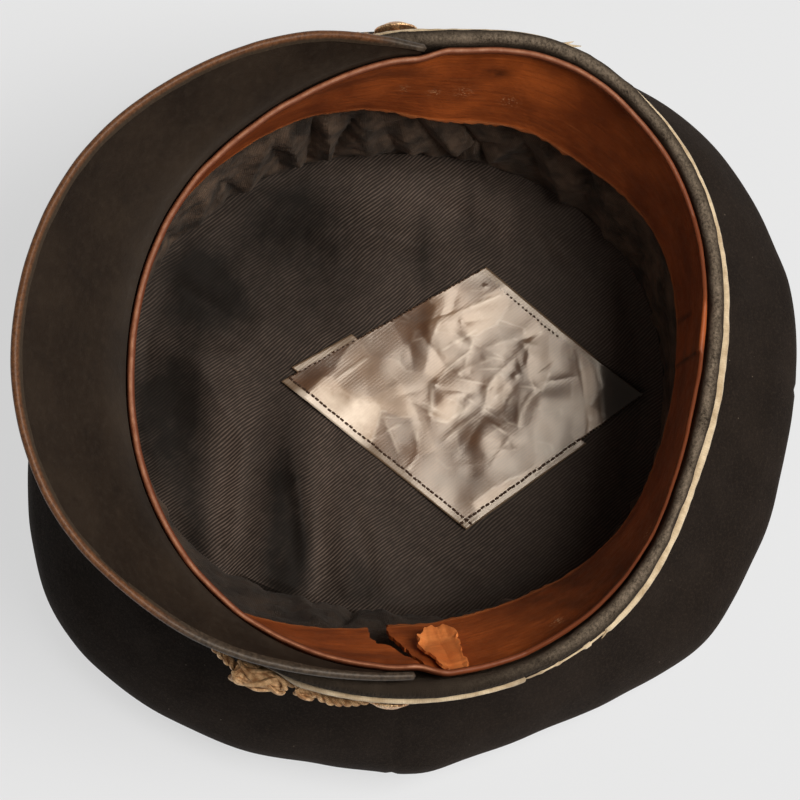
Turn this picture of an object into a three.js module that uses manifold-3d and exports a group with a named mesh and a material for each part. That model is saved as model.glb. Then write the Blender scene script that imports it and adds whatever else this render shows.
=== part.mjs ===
// A crusher cap: a soft peaked officer's cap without its crown wire, lying upside down on its crown.
// Millimetres. +Z is up, the visor points to -Y and the wearer's right is +X.
//
// The cap is a nest of rings round one upright axis. Each outline gives a reach, the distance out
// from that axis, for a compass angle counted from +X (the wearer's right) towards +Y (the back).
// Heights are counted from the surface that the crown lies on, up to the rim of the head opening.

import * as THREE from 'three';
import { mergeVertices } from 'three/addons/utils/BufferGeometryUtils.js';
import Module from 'manifold-3d';

const wasm = await Module();
wasm.setup();

// ---- driving dimensions ---------------------------------------------------------------------

const RING_FACETS = 48;
const SEAT_GAP = 0.3;
const AXIS_OFFSET = { x: 1.8, y: 7.8 };   // from the middle of the whole cap back to the nest's axis

const RIM_HEIGHT = 105;
const RIM_SLOPE = 0.045;                  // the crown is cut deeper in front, so the rim rises there
const LEVEL_BELOW = 15;                   // the crown itself lies level

const RIM = { halfWidth: 90.5, halfLength: 85.7, shiftX: 4.7, shiftY: -2.3, square: 2.12 };
const RIM_SWELLS = [{ at: 142, spread: 80, out: 18.5 }];

const CROWN = { halfWidth: 122, halfLength: 123.5, shiftX: 1, shiftY: 4, square: 2.45 };
const CROWN_SWELLS = [
  { at: 2, spread: 13, out: 1.4 },
  { at: 31.5, spread: 30, out: -9.5 },
  { at: 103.5, spread: 49, out: 10.5 },
  { at: 232, spread: 60, out: -5 },
  { at: 275, spread: 32, out: -3 },
];

const LINING = { halfWidth: 79, halfLength: 91, shiftX: -4, shiftY: 5, square: 2.2 };

// share: how far a level of the crown's side lies from the band's outline to the crown's widest one
const CROWN_WALL = [
  { height: 10.4, share: 0.86 },
  { height: 15, share: 0.955 },
  { height: 21, share: 1 },
  { height: 28, share: 0.96 },
  { height: 36, share: 0.78 },
  { height: 46, share: 0.48 },
  { height: 57, share: 0.15 },
  { height: 64.5, share: 0 },
];
const CROWN_TUCK = 5.2;                   // outside of the crown's top edge, out from the rim's outline
const CLOTH = 1.6;

// ratio: a level of the crown's top, as a part of the reach of its seam
const CROWN_TOP = [
  { ratio: 1, height: 9.4 },
  { ratio: 0.965, height: 4.6 },
  { ratio: 0.92, height: 1.3 },
  { ratio: 0.86, height: 0 },
  { ratio: 0.45, height: 0 },
  { ratio: 0, height: 0 },
];
const CROWN_TOP_CLOTH = 1.8;

// out: distance beyond the rim's outline
const BAND_SECTION = [
  { out: 3.4, height: 65.3 },
  { out: 3.4, height: 88 },
  { out: 2.1, height: 98 },
  { out: 1.9, height: 102.6 },
  { out: 3.2, height: 104.7 },
  { out: 5, height: 105 },
  { out: 6.7, height: 104 },
  { out: 7.2, height: 101.5 },
  { out: 6.9, height: 97 },
  { out: 6.9, height: 82 },
  { out: 6.4, height: 66.8 },
  { out: 5.6, height: 65.3 },
];
const BAND_FACE = 6.9;
// the soft wall of the band leans in towards the crown where the head opening has spread
const BAND_LEANS = [
  { at: 2, spread: 62, inward: 11 },
  { at: 156, spread: 58, inward: 7 },
];
const LEAN = { from: 99, over: 39, bend: 0.8 };

const LOWER_PIPING = { out: 8.45, height: 97.5, radius: 1.25 };
const UPPER_PIPING = { out: 6.9, height: 64.7, radius: 1.1 };
const CROWN_PIPING = { beyondSeam: 1.5, height: 9.5, radius: 1.1 };
const PIPING_SIDES = 5;

// sweatband: a leather strip rolled over the rim, its free edge hanging inward where it came loose
const LEATHER = 1.2;
// how far the leather hangs inward from the band
const SWEATBAND_LEANS = [
  { at: -3, spread: 48, inward: 6 },
  { at: 38, spread: 40, inward: 7 },
  { at: 160, spread: 55, inward: 8 },
];
const SWEATBAND_ROLL = [
  { out: 1.5, height: 103.4 },
  { out: 1.1, height: 104.8 },
  { out: 0.2, height: 105.3 },
  { out: -0.8, height: 104.8 },
  { out: -1, height: 103.8 },
  { out: -0.2, height: 102.6 },
];
const SWEATBAND_LEVELS = [60, 74, 88, 101];
const TUCK = { depth: 2.5, from: 90, height: 84 };   // the visor's root pushes the rolled edge inward

// the rip in the sweatband on the wearer's right: distance towards the back, and height
const RIP = [
  { back: -10, height: 40 },
  { back: -10.2, height: 72 },
  { back: -8.6, height: 77.5 },
  { back: -4, height: 79.5 },
  { back: 2.6, height: 97.5 },
  { back: 4.4, height: 98.5 },
  { back: 0.4, height: 84 },
  { back: -1.4, height: 76 },
  { back: -4.2, height: 69 },
  { back: -3.2, height: 40 },
];
const RIP_REACH = { from: 55, to: 100 };

// the torn strip that is folded back over the sweatband beside the rip
const FLAP_STATIONS = [
  { at: 2.2, top: 101.6, foot: 78 },
  { at: 4.6, top: 101.8, foot: 75 },
  { at: 7, top: 101.9, foot: 77 },
  { at: 8.8, top: 101.8, foot: 86 },
];
const FLAP_LEVELS = 5;
const FLAP_LIFT = { low: 1.2, high: 1.8, above: 95, over: 7 };

// lining: a side strip and a round top that hang inside the crown
const LINING_CLOTH = 1;
const LINING_SIDE = [
  { height: 80, share: 0 },
  { height: 60, share: 0 },
  { height: 48, share: 0.22 },
  { height: 34, share: 0.58 },
  { height: 20, share: 0.9 },
  { height: 8.4, share: 1 },
];
const LINING_TUCK = 2.9;
const LINING_SEAM_IN = 1.6;
const LINING_TOP = [
  { ratio: 1, height: 7.4 },
  { ratio: 0.93, height: 4.4 },
  { ratio: 0.82, height: 3 },
  { ratio: 0.6, height: 2.6 },
  { ratio: 0.32, height: 2.6 },
  { ratio: 0, height: 2.6 },
];
// soft folds of the lining's top: middle, half sizes, turn of the long side from +X, and height
const LINING_FOLDS = [
  { x: 52, y: -38, long: 30, wide: 9, turn: -8, rise: 5 },
  { x: 50, y: -12, long: 26, wide: 8, turn: 6, rise: 4 },
  { x: -56, y: -12, long: 24, wide: 12, turn: 80, rise: 4 },
  { x: -8, y: -60, long: 26, wide: 12, turn: 20, rise: 4 },
];

// sweat shield: a clear rhombus sewn flat on the lining's top
const SHIELD_CORNERS = [
  { x: -5, y: -33.3 },
  { x: 43.8, y: 28.5 },
  { x: -0.3, y: 90 },
  { x: -44.6, y: 35.4 },
];
const SHIELD_CELLS = 8;
const SHIELD_LIFT = 0.85;
const SHIELD_SHEET = 0.5;

// visor: a stiff crescent; its edge by angle from the front, positive on the wearer's right, out
// from the rim's outline and up from the rim's height
const VISOR_EDGE = [
  { at: -92, out: 1.8, rise: 2.4 },
  { at: -69, out: 13.2, rise: 14.2 },
  { at: -46, out: 21.8, rise: 21.4 },
  { at: -23, out: 27.4, rise: 26.8 },
  { at: 0, out: 33.3, rise: 31.8 },
  { at: 23, out: 29.1, rise: 28.6 },
  { at: 46, out: 16.4, rise: 17.8 },
  { at: 69, out: 5.5, rise: 7.8 },
  { at: 92, out: 1.8, rise: 2.4 },
];
const VISOR_PLATE = { from: -87, to: 74, stations: 32, sheet: 1.6, rows: 5 };
// the plate bends at the rim into a flange that is sewn in between the band and the sweatband
const VISOR_BEND = { out: 0.4, height: 105.4, foot: 100.5 };
const VISOR_HOLLOW = 1.3;                 // above 1 the plate starts flat on the band and then rises
const BINDING = { from: -92, to: 90, stations: 38, radius: 1.2, sides: 6 };

// chin cord: one loop of cord from button to button round the front, in two runs
const CORD = { radius: 1.5, height: 88, halfGap: 1.9, slack: 10.3, close: 8.9, sides: 5, stations: 30 };
const CORD_EYE = { radius: 3.5, opens: 7, steps: 4 };
// the cord stands off the band where its knots are, between these angles from the front
const CORD_STANDS_OFF = { starts: [38, 50], ends: [75, 80] };
const BUTTONS = [
  { name: 'side_button_right', at: -3.5 },
  { name: 'side_button_left', at: 183.5 },
];
const BUTTON = { shank: 1.5, head: 6.8, rim: 0.7, dome: 2, foot: 0.4, seat: 10.9, facets: 14 };
const SLIDES = [
  { name: 'cord_knot_large_right', at: -25, length: 17, wall: 2.2 },
  { name: 'cord_knot_small_right', at: -17.6, length: 6.5, wall: 1.7 },
  { name: 'cord_knot_large_left', at: 205, length: 17, wall: 2.2 },
  { name: 'cord_knot_small_left', at: 197.6, length: 6.5, wall: 1.7 },
];
const SLIDE_BACK_WALL = 0.9;
const SLIDE_CLEARANCE = 0.55;
const SLIDE_FACETS = 10;

const COLOURS = {
  wool: { color: 0x211c19, roughness: 0.95, metalness: 0 },
  velvet: { color: 0x3a3631, roughness: 0.9, metalness: 0 },
  piping: { color: 0xd8c6a4, roughness: 0.85, metalness: 0 },
  leather: { color: 0x7f4122, roughness: 0.6, metalness: 0 },
  liningSide: { color: 0x3b342e, roughness: 0.8, metalness: 0 },
  liningTop: { color: 0x2b2621, roughness: 0.7, metalness: 0 },
  shield: { color: 0x9a8c78, roughness: 0.25, metalness: 0 },
  visor: { color: 0x2d241d, roughness: 0.6, metalness: 0 },
  binding: { color: 0x5e3a20, roughness: 0.55, metalness: 0 },
  cord: { color: 0xa08766, roughness: 0.6, metalness: 0.3 },
  button: { color: 0xa9764c, roughness: 0.4, metalness: 0.8 },
};

// ---- outlines -------------------------------------------------------------------------------

const radians = THREE.MathUtils.degToRad;
const mix = THREE.MathUtils.lerp;

// a smooth hump of height 1 at `at`, gone `spread` degrees away from it
function hump(angle, at, spread) {
  const away = THREE.MathUtils.euclideanModulo(angle - at + 180, 360) - 180;
  const part = Math.min(Math.abs(away) / spread, 1);
  return Math.cos(part * Math.PI / 2) ** 2;
}

function sumHumps(rows, angle, column) {
  return rows.reduce((sum, row) => sum + row[column] * hump(angle, row.at, row.spread), 0);
}

// a rounded oval seen from an axis that is not quite in its middle
function ovalReach(oval, angle) {
  const c = Math.cos(radians(angle));
  const s = Math.sin(radians(angle));
  const across = Math.abs(c / oval.halfWidth) ** oval.square;
  const along = Math.abs(s / oval.halfLength) ** oval.square;
  return (across + along) ** (-1 / oval.square) + oval.shiftX * c + oval.shiftY * s;
}

function rimReach(angle) {
  return ovalReach(RIM, angle) + sumHumps(RIM_SWELLS, angle, 'out');
}

function crownReach(angle) {
  return ovalReach(CROWN, angle) + sumHumps(CROWN_SWELLS, angle, 'out');
}

// share of the way down the band, from its straight lower part to its upper edge
function hang(height) {
  return (Math.max(LEAN.from - height, 0) / LEAN.over) ** LEAN.bend;
}

// the rim's outline carried down the leaning wall of the band
function wallReach(angle, height) {
  return rimReach(angle) - sumHumps(BAND_LEANS, angle, 'inward') * hang(height);
}

function crownWallReach(angle, share) {
  const tuck = wallReach(angle, CROWN_WALL[CROWN_WALL.length - 1].height) + CROWN_TUCK;
  return mix(tuck, crownReach(angle), share);
}

function seamReach(angle) {
  return crownWallReach(angle, CROWN_WALL[0].share);
}

function liningReach(angle) {
  return ovalReach(LINING, angle);
}

// the point at a compass angle, a reach and a height, on the cap as it has settled
function place(angle, reach, height) {
  const x = reach * Math.cos(radians(angle));
  const y = reach * Math.sin(radians(angle));
  const settled = THREE.MathUtils.smoothstep(height, LEVEL_BELOW, RIM_HEIGHT);
  return new THREE.Vector3(x - AXIS_OFFSET.x, y - AXIS_OFFSET.y, height - RIM_SLOPE * settled * y);
}

// ---- solids ---------------------------------------------------------------------------------

// collects triangles, joins equal corners and leaves out triangles that have closed up
class Faces {
  constructor() {
    this.corners = [];
    this.numbers = new Map();
    this.triangles = [];
  }

  corner(point) {
    const key = point.toArray().map((value) => value.toFixed(4)).join();
    if (!this.numbers.has(key)) {
      this.numbers.set(key, this.numbers.size);
      this.corners.push(...point.toArray());
    }
    return this.numbers.get(key);
  }

  triangle(a, b, c) {
    const [i, j, k] = [this.corner(a), this.corner(b), this.corner(c)];
    if (i !== j && j !== k && k !== i) this.triangles.push(i, j, k);
  }

  quad(a, b, c, d) {
    this.triangle(a, b, c);
    this.triangle(a, c, d);
  }

  // the closed surface, turned so that its faces point out
  geometry() {
    const at = (number) => new THREE.Vector3().fromArray(this.corners, 3 * number);
    let volume = 0;
    for (let i = 0; i < this.triangles.length; i += 3) {
      const [a, b, c] = this.triangles.slice(i, i + 3).map(at);
      volume += a.dot(b.cross(c));
    }
    const turned = volume < 0 ? this.triangles.slice().reverse() : this.triangles;
    const geometry = new THREE.BufferGeometry();
    geometry.setAttribute('position', new THREE.Float32BufferAttribute(this.corners, 3));
    geometry.setIndex(turned);
    return geometry;
  }
}

// a wall between two grids of points [station][row]; a ring wraps round, a strip is closed at its ends
function wallBetween(outside, inside, wraps) {
  const faces = new Faces();
  const stations = outside.length;
  const last = outside[0].length - 1;
  for (let i = 0; i < (wraps ? stations : stations - 1); i++) {
    const next = (i + 1) % stations;
    for (let j = 0; j < last; j++) {
      faces.quad(outside[i][j], outside[next][j], outside[next][j + 1], outside[i][j + 1]);
      faces.quad(inside[i][j], inside[i][j + 1], inside[next][j + 1], inside[next][j]);
    }
    faces.quad(outside[i][0], inside[i][0], inside[next][0], outside[next][0]);
    faces.quad(outside[i][last], outside[next][last], inside[next][last], inside[i][last]);
  }
  if (!wraps) {
    const end = stations - 1;
    for (let j = 0; j < last; j++) {
      faces.quad(outside[0][j], outside[0][j + 1], inside[0][j + 1], inside[0][j]);
      faces.quad(outside[end][j + 1], outside[end][j], inside[end][j], inside[end][j + 1]);
    }
  }
  return faces.geometry();
}

// a closed section carried along; a ring wraps round, a strip gets a fan of triangles at each end
function carrySection(sections, wraps) {
  const faces = new Faces();
  const stations = sections.length;
  const sides = sections[0].length;
  for (let i = 0; i < (wraps ? stations : stations - 1); i++) {
    const next = (i + 1) % stations;
    for (let j = 0; j < sides; j++) {
      const k = (j + 1) % sides;
      faces.quad(sections[i][j], sections[next][j], sections[next][k], sections[i][k]);
    }
  }
  if (!wraps) {
    const [first, end] = [sections[0], sections[stations - 1]];
    for (let j = 1; j < sides - 1; j++) {
      faces.triangle(first[0], first[j], first[j + 1]);
      faces.triangle(end[0], end[j + 1], end[j]);
    }
  }
  return faces.geometry();
}

// moves the rows of a profile sideways by a wall thickness, square to the profile
function thicken(rows, thickness) {
  return rows.map((row, i) => {
    const before = rows[Math.max(i - 1, 0)];
    const after = rows[Math.min(i + 1, rows.length - 1)];
    const run = new THREE.Vector2(after.reach - before.reach, after.height - before.height).normalize();
    return { reach: row.reach - thickness * run.y, height: row.height + thickness * run.x };
  });
}

const ringAngles = Array.from({ length: RING_FACETS }, (_, i) => i * 360 / RING_FACETS);

// a wall of even thickness all round, from its outer profile at each angle
function ringWall(profileAt, thickness) {
  const profiles = ringAngles.map((angle) => ({ angle, rows: profileAt(angle) }));
  const grid = (pick) => profiles.map(({ angle, rows }) => (
    pick(rows).map((row) => place(angle, row.reach, row.height))));
  return wallBetween(grid((rows) => rows), grid((rows) => thicken(rows, thickness)), true);
}

function ringOfSection(sectionAt) {
  const sections = ringAngles.map((angle) => (
    sectionAt(angle).map((row) => place(angle, row.reach, row.height))));
  return carrySection(sections, true);
}

function roundSection(reach, height, radius, sides) {
  return Array.from({ length: sides }, (_, i) => {
    const turn = (i + 0.5) * 2 * Math.PI / sides;
    return { reach: reach + radius * Math.cos(turn), height: height + radius * Math.sin(turn) };
  });
}

// ---- cap body -------------------------------------------------------------------------------

function crownSide() {
  const profileAt = (angle) => CROWN_WALL.map(({ height, share }) => (
    { reach: crownWallReach(angle, share), height }));
  return ringWall(profileAt, CLOTH);
}

// a round dish from its seam to its middle, between its underside and a surface above it
function dish(rows, reachAt, undersideAt, thickness) {
  const grid = (lift) => ringAngles.map((angle) => rows.map((row) => {
    const reach = row.ratio * reachAt(angle);
    const spot = place(angle, reach, 0);
    return place(angle, reach, undersideAt(row, spot) + lift);
  }));
  return wallBetween(grid(0), grid(thickness), true);
}

function crownTop() {
  const profileAt = (angle) => CROWN_TOP.map(({ ratio, height }) => (
    { reach: ratio * seamReach(angle), height }));
  const outside = ringAngles.map((angle) => (
    profileAt(angle).map((row) => place(angle, row.reach, row.height))));
  const inside = ringAngles.map((angle) => {
    const rows = thicken(profileAt(angle).slice(0, -1).reverse(), CROWN_TOP_CLOTH).reverse();
    const middle = { reach: 0, height: CROWN_TOP_CLOTH };
    return [...rows, middle].map((row) => place(angle, row.reach, row.height));
  });
  return wallBetween(outside, inside, true);
}

function capBand() {
  return ringOfSection((angle) => BAND_SECTION.map(({ out, height }) => (
    { reach: wallReach(angle, height) + out, height })));
}

function bandPiping({ out, height, radius }) {
  return ringOfSection((angle) => (
    roundSection(wallReach(angle, height) + out, height, radius, PIPING_SIDES)));
}

function crownPiping({ beyondSeam, height, radius }) {
  return ringOfSection((angle) => (
    roundSection(seamReach(angle) + beyondSeam, height, radius, PIPING_SIDES)));
}

// ---- sweatband ------------------------------------------------------------------------------

// how far the visor's root pushes the leather inward
function tuckIn(angle, height) {
  const fromFront = Math.abs(THREE.MathUtils.euclideanModulo(angle + 270, 360) - 180);
  const along = 1 - THREE.MathUtils.smoothstep(fromFront, TUCK.from, TUCK.from + 7);
  return TUCK.depth * along * THREE.MathUtils.smoothstep(height, TUCK.height, LEAN.from);
}

// reach of the leather's inner face
function leatherReach(angle, height) {
  const lean = sumHumps(SWEATBAND_LEANS, angle, 'inward') * hang(height) ** 1.15;
  return wallReach(angle, height) - tuckIn(angle, height) - lean;
}

function sweatbandSection(angle) {
  const outer = SWEATBAND_LEVELS.map((height) => (
    { reach: leatherReach(angle, height) + LEATHER, height }));
  const roll = SWEATBAND_ROLL.map(({ out, height }) => (
    { reach: leatherReach(angle, height) + out, height }));
  const inner = SWEATBAND_LEVELS.map((height) => ({ reach: leatherReach(angle, height), height }));
  return [...outer, ...roll, ...inner.reverse()];
}

function toManifold(geometry) {
  return new wasm.Manifold(new wasm.Mesh({
    numProp: 3,
    vertProperties: new Float32Array(geometry.attributes.position.array),
    triVerts: new Uint32Array(geometry.index.array),
  }));
}

function fromManifold(solid) {
  const mesh = solid.getMesh();
  const geometry = new THREE.BufferGeometry();
  geometry.setAttribute('position', new THREE.BufferAttribute(mesh.vertProperties, 3));
  geometry.setIndex(new THREE.BufferAttribute(mesh.triVerts, 1));
  return geometry;
}

// the rip as a block through the leather on the wearer's right
function ripBlock() {
  const outline = new THREE.Shape(RIP.map(({ back, height }) => new THREE.Vector2(back, height)));
  const depth = RIP_REACH.to - RIP_REACH.from;
  const block = new THREE.ExtrudeGeometry(outline, { depth, bevelEnabled: false });
  const [toRight, toBack, upward] = [[1, 0, 0], [0, 1, 0], [0, 0, 1]].map((axis) => (
    new THREE.Vector3(...axis)));
  block.applyMatrix4(new THREE.Matrix4().makeBasis(toBack, upward, toRight));
  block.translate(RIP_REACH.from - AXIS_OFFSET.x, -AXIS_OFFSET.y, 0);
  block.deleteAttribute('normal');
  block.deleteAttribute('uv');
  return mergeVertices(block);
}

function sweatband() {
  const whole = toManifold(ringOfSection(sweatbandSection));
  return fromManifold(whole.subtract(toManifold(ripBlock())));
}

// the folded strip lies on the leather and lifts over its rolled edge
function sweatbandFlap() {
  const grid = (depth) => FLAP_STATIONS.map(({ at, top, foot }) => (
    Array.from({ length: FLAP_LEVELS }, (_, i) => {
      const height = mix(top, foot, i / (FLAP_LEVELS - 1));
      const part = THREE.MathUtils.smoothstep(height, FLAP_LIFT.above, FLAP_LIFT.above + FLAP_LIFT.over);
      const lift = mix(FLAP_LIFT.low, FLAP_LIFT.high, part);
      return place(at, leatherReach(at, height) - lift - depth, height);
    })));
  return wallBetween(grid(0), grid(LEATHER), false);
}

// ---- lining and sweat shield ----------------------------------------------------------------

function liningSide() {
  const profileAt = (angle) => LINING_SIDE.map(({ height, share }) => (
    { reach: mix(wallReach(angle, height) + LINING_TUCK, liningReach(angle), share), height })).reverse();
  return ringWall(profileAt, LINING_CLOTH);
}

function foldHeight(x, y) {
  return LINING_FOLDS.reduce((sum, fold) => {
    const turn = radians(fold.turn);
    const along = ((x - fold.x) * Math.cos(turn) + (y - fold.y) * Math.sin(turn)) / fold.long;
    const across = ((y - fold.y) * Math.cos(turn) - (x - fold.x) * Math.sin(turn)) / fold.wide;
    return sum + fold.rise * Math.exp(-along * along - across * across);
  }, 0);
}

function liningTopReach(angle) {
  return liningReach(angle) - LINING_SEAM_IN;
}

// height of the lining's underside at a part of the way out from the middle
function liningLevel(ratio) {
  const outer = LINING_TOP.findLastIndex((row) => row.ratio >= ratio);
  const [high, low] = [LINING_TOP[outer], LINING_TOP[Math.min(outer + 1, LINING_TOP.length - 1)]];
  if (high === low) return high.height;
  return mix(low.height, high.height, (ratio - low.ratio) / (high.ratio - low.ratio));
}

function liningTop() {
  const underside = (row, spot) => (
    row.height + (row.ratio < 1 ? foldHeight(spot.x + AXIS_OFFSET.x, spot.y + AXIS_OFFSET.y) : 0));
  return dish(LINING_TOP, liningTopReach, underside, LINING_CLOTH);
}

function sweatShield() {
  const [left, near, back, far] = SHIELD_CORNERS.map(({ x, y }) => new THREE.Vector2(x, y));
  const steps = Array.from({ length: SHIELD_CELLS + 1 }, (_, i) => i / SHIELD_CELLS);
  const grid = (lift) => steps.map((u) => steps.map((v) => {
    const spot = left.clone().lerp(near, u).lerp(far.clone().lerp(back, u), v);
    const angle = THREE.MathUtils.radToDeg(spot.angle());
    const level = liningLevel(spot.length() / liningTopReach(angle)) + foldHeight(spot.x, spot.y);
    return place(angle, spot.length(), level + LINING_CLOTH + SHIELD_LIFT + lift);
  }));
  return wallBetween(grid(0), grid(SHIELD_SHEET), false);
}

// ---- visor ----------------------------------------------------------------------------------

// a smooth run through the rows of the edge table, which are evenly spaced
function visorEdge(fromFront, column) {
  const step = VISOR_EDGE[1].at - VISOR_EDGE[0].at;
  const slot = (fromFront - VISOR_EDGE[0].at) / step;
  const row = Math.min(Math.max(Math.floor(slot), 0), VISOR_EDGE.length - 2);
  const value = (i) => VISOR_EDGE[Math.min(Math.max(i, 0), VISOR_EDGE.length - 1)][column];
  const t = slot - row;
  const [a, b, c, d] = [value(row - 1), value(row), value(row + 1), value(row + 2)];
  const bend = (2 * a - 5 * b + 4 * c - d) * t * t + (3 * b - a - 3 * c + d) * t * t * t;
  return b + 0.5 * ((c - a) * t + bend);
}

function fromFrontToCompass(fromFront) {
  return fromFront - 90;
}

function bindingLine(fromFront) {
  const angle = fromFrontToCompass(fromFront);
  return {
    reach: rimReach(angle) + visorEdge(fromFront, 'out') - BINDING.radius,
    height: RIM_HEIGHT + visorEdge(fromFront, 'rise'),
  };
}

// the plate's middle surface: its flange, the bend at the rim, and out to just short of the binding
function plateProfile(fromFront) {
  const bend = rimReach(fromFrontToCompass(fromFront)) + VISOR_BEND.out;
  const edge = bindingLine(fromFront);
  const slope = Math.atan2(edge.height - VISOR_BEND.height, edge.reach - bend);
  const stop = BINDING.radius + SEAT_GAP;
  const end = { reach: edge.reach - stop * Math.cos(slope), height: edge.height - stop * Math.sin(slope) };
  const plate = Array.from({ length: VISOR_PLATE.rows }, (_, i) => {
    const part = i / (VISOR_PLATE.rows - 1);
    const height = mix(VISOR_BEND.height, end.height, part ** VISOR_HOLLOW);
    return { reach: mix(bend, end.reach, part), height };
  });
  return [{ reach: bend, height: VISOR_BEND.foot }, ...plate];
}

function visor() {
  const angles = Array.from({ length: VISOR_PLATE.stations + 1 }, (_, i) => (
    mix(VISOR_PLATE.from, VISOR_PLATE.to, i / VISOR_PLATE.stations)));
  const grid = (depth) => angles.map((fromFront) => (
    thicken(plateProfile(fromFront), depth).map((row) => (
      place(fromFrontToCompass(fromFront), row.reach, row.height)))));
  return wallBetween(grid(-VISOR_PLATE.sheet / 2), grid(VISOR_PLATE.sheet / 2), false);
}

function visorBinding() {
  const sections = Array.from({ length: BINDING.stations + 1 }, (_, i) => {
    const fromFront = mix(BINDING.from, BINDING.to, i / BINDING.stations);
    const { reach, height } = bindingLine(fromFront);
    return roundSection(reach, height, BINDING.radius, BINDING.sides).map((row) => (
      place(fromFrontToCompass(fromFront), row.reach, row.height)));
  });
  return carrySection(sections, false);
}

// ---- chin cord, its knots and buttons -------------------------------------------------------

// distance of the cord's middle beyond the rim's outline
function cordOut(angle) {
  const fromFront = Math.abs(THREE.MathUtils.euclideanModulo(angle + 270, 360) - 180);
  const leaves = THREE.MathUtils.smoothstep(fromFront, ...CORD_STANDS_OFF.starts);
  const returns = THREE.MathUtils.smoothstep(fromFront, ...CORD_STANDS_OFF.ends);
  return mix(CORD.close, CORD.slack, leaves - returns);
}

// half the distance between the two runs, which part round a button's shank
function cordHalfGap(angle) {
  const opening = BUTTONS.reduce((sum, { at }) => sum + hump(angle, at, CORD_EYE.opens), 0);
  return mix(CORD.halfGap, CORD_EYE.radius, opening);
}

// the loop as compass angles and heights: the upper run, an eye, the lower run and the other eye
function cordLoop() {
  const [right, left] = [BUTTONS[0].at, BUTTONS[1].at - 360];
  const run = Array.from({ length: CORD.stations + 1 }, (_, i) => mix(right, left, i / CORD.stations));
  const upper = run.map((angle) => ({ angle, height: CORD.height + cordHalfGap(angle) }));
  const lower = run.map((angle) => ({ angle, height: CORD.height - cordHalfGap(angle) })).reverse();
  const eye = (at, side) => Array.from({ length: CORD_EYE.steps }, (_, i) => {
    const turn = Math.PI * (i + 1) / (CORD_EYE.steps + 1);
    const along = CORD_EYE.radius * Math.sin(turn) / radians(rimReach(at) + CORD.slack);
    return { angle: at + side * along, height: CORD.height + side * -CORD_EYE.radius * Math.cos(turn) };
  });
  return [...upper, ...eye(left, -1), ...lower, ...eye(right, 1)];
}

function chinCord() {
  const path = cordLoop().map(({ angle, height }) => (
    place(angle, wallReach(angle, height) + cordOut(angle), height)));
  const sections = path.map((point, i) => {
    const before = path[(i + path.length - 1) % path.length];
    const after = path[(i + 1) % path.length];
    const ahead = after.clone().sub(before).normalize();
    const outward = new THREE.Vector3(point.x + AXIS_OFFSET.x, point.y + AXIS_OFFSET.y, 0).normalize();
    const beside = new THREE.Vector3().crossVectors(ahead, outward).normalize();
    const square = new THREE.Vector3().crossVectors(beside, ahead).normalize();
    return Array.from({ length: CORD.sides }, (_, k) => {
      const turn = (k + 0.5) * 2 * Math.PI / CORD.sides;
      return point.clone()
        .addScaledVector(square, CORD.radius * Math.cos(turn))
        .addScaledVector(beside, CORD.radius * Math.sin(turn));
    });
  });
  return carrySection(sections, true);
}

// a sleeve round both runs of the cord, thicker on its face than on its back
function cordKnot({ at, length, wall }) {
  const clear = CORD.radius + SLIDE_CLEARANCE;
  const reach = rimReach(at) + CORD.slack;
  const sections = Array.from({ length: SLIDE_FACETS }, (_, i) => {
    const turn = (i + 0.5) * 2 * Math.PI / SLIDE_FACETS;
    const outward = Math.sign(Math.cos(turn)) * Math.abs(Math.cos(turn)) ** 0.6;
    const upward = Math.sign(Math.sin(turn)) * Math.abs(Math.sin(turn)) ** 0.6;
    const thick = Math.cos(turn) > 0 ? wall : SLIDE_BACK_WALL;
    const corner = (along, over) => {
      const angle = at + THREE.MathUtils.radToDeg(along * length / 2 / reach);
      const height = CORD.height + upward * (CORD.halfGap + clear + over * wall);
      const middle = wallReach(angle, height) + CORD.slack;
      return place(angle, middle + outward * (clear + over * thick), height);
    };
    const face = [corner(-1, 0.55), corner(-0.5, 1), corner(0.5, 1), corner(1, 0.55)];
    return [...face, corner(1, 0), corner(0, 0), corner(-1, 0)];
  });
  return carrySection(sections, true);
}

// a domed head on a shank, turned about its own axis and set square to the band
function sideButton({ at }) {
  const foot = BAND_FACE + BUTTON.foot;
  const head = BUTTON.seat - foot;
  const profile = [
    new THREE.Vector2(0, 0),
    new THREE.Vector2(BUTTON.shank, 0),
    new THREE.Vector2(BUTTON.shank, head),
    new THREE.Vector2(BUTTON.head, head),
    new THREE.Vector2(BUTTON.head, head + BUTTON.rim),
    new THREE.Vector2(BUTTON.head * 0.85, head + BUTTON.rim + BUTTON.dome * 0.4),
    new THREE.Vector2(BUTTON.head * 0.5, head + BUTTON.rim + BUTTON.dome * 0.85),
    new THREE.Vector2(0, head + BUTTON.rim + BUTTON.dome),
  ];
  const turned = new THREE.LatheGeometry(profile, BUTTON.facets);
  const [under, over] = [CORD.height - BUTTON.head, CORD.height + BUTTON.head];
  const leaning = Math.atan2(wallReach(at, over) - wallReach(at, under), over - under);
  const [c, s] = [Math.cos(radians(at)), Math.sin(radians(at))];
  const outward = new THREE.Vector3(c, s, -Math.tan(leaning)).normalize();
  turned.applyQuaternion(new THREE.Quaternion().setFromUnitVectors(new THREE.Vector3(0, 1, 0), outward));
  const inEye = place(at, wallReach(at, CORD.height) + CORD.close, CORD.height);
  return turned.translate(...inEye.addScaledVector(outward, foot - CORD.close).toArray());
}

// ---- the cap --------------------------------------------------------------------------------

const cap = new THREE.Group();

function add(name, geometry, colour) {
  const mesh = new THREE.Mesh(geometry, new THREE.MeshStandardMaterial(COLOURS[colour]));
  mesh.name = name;
  cap.add(mesh);
}

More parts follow.
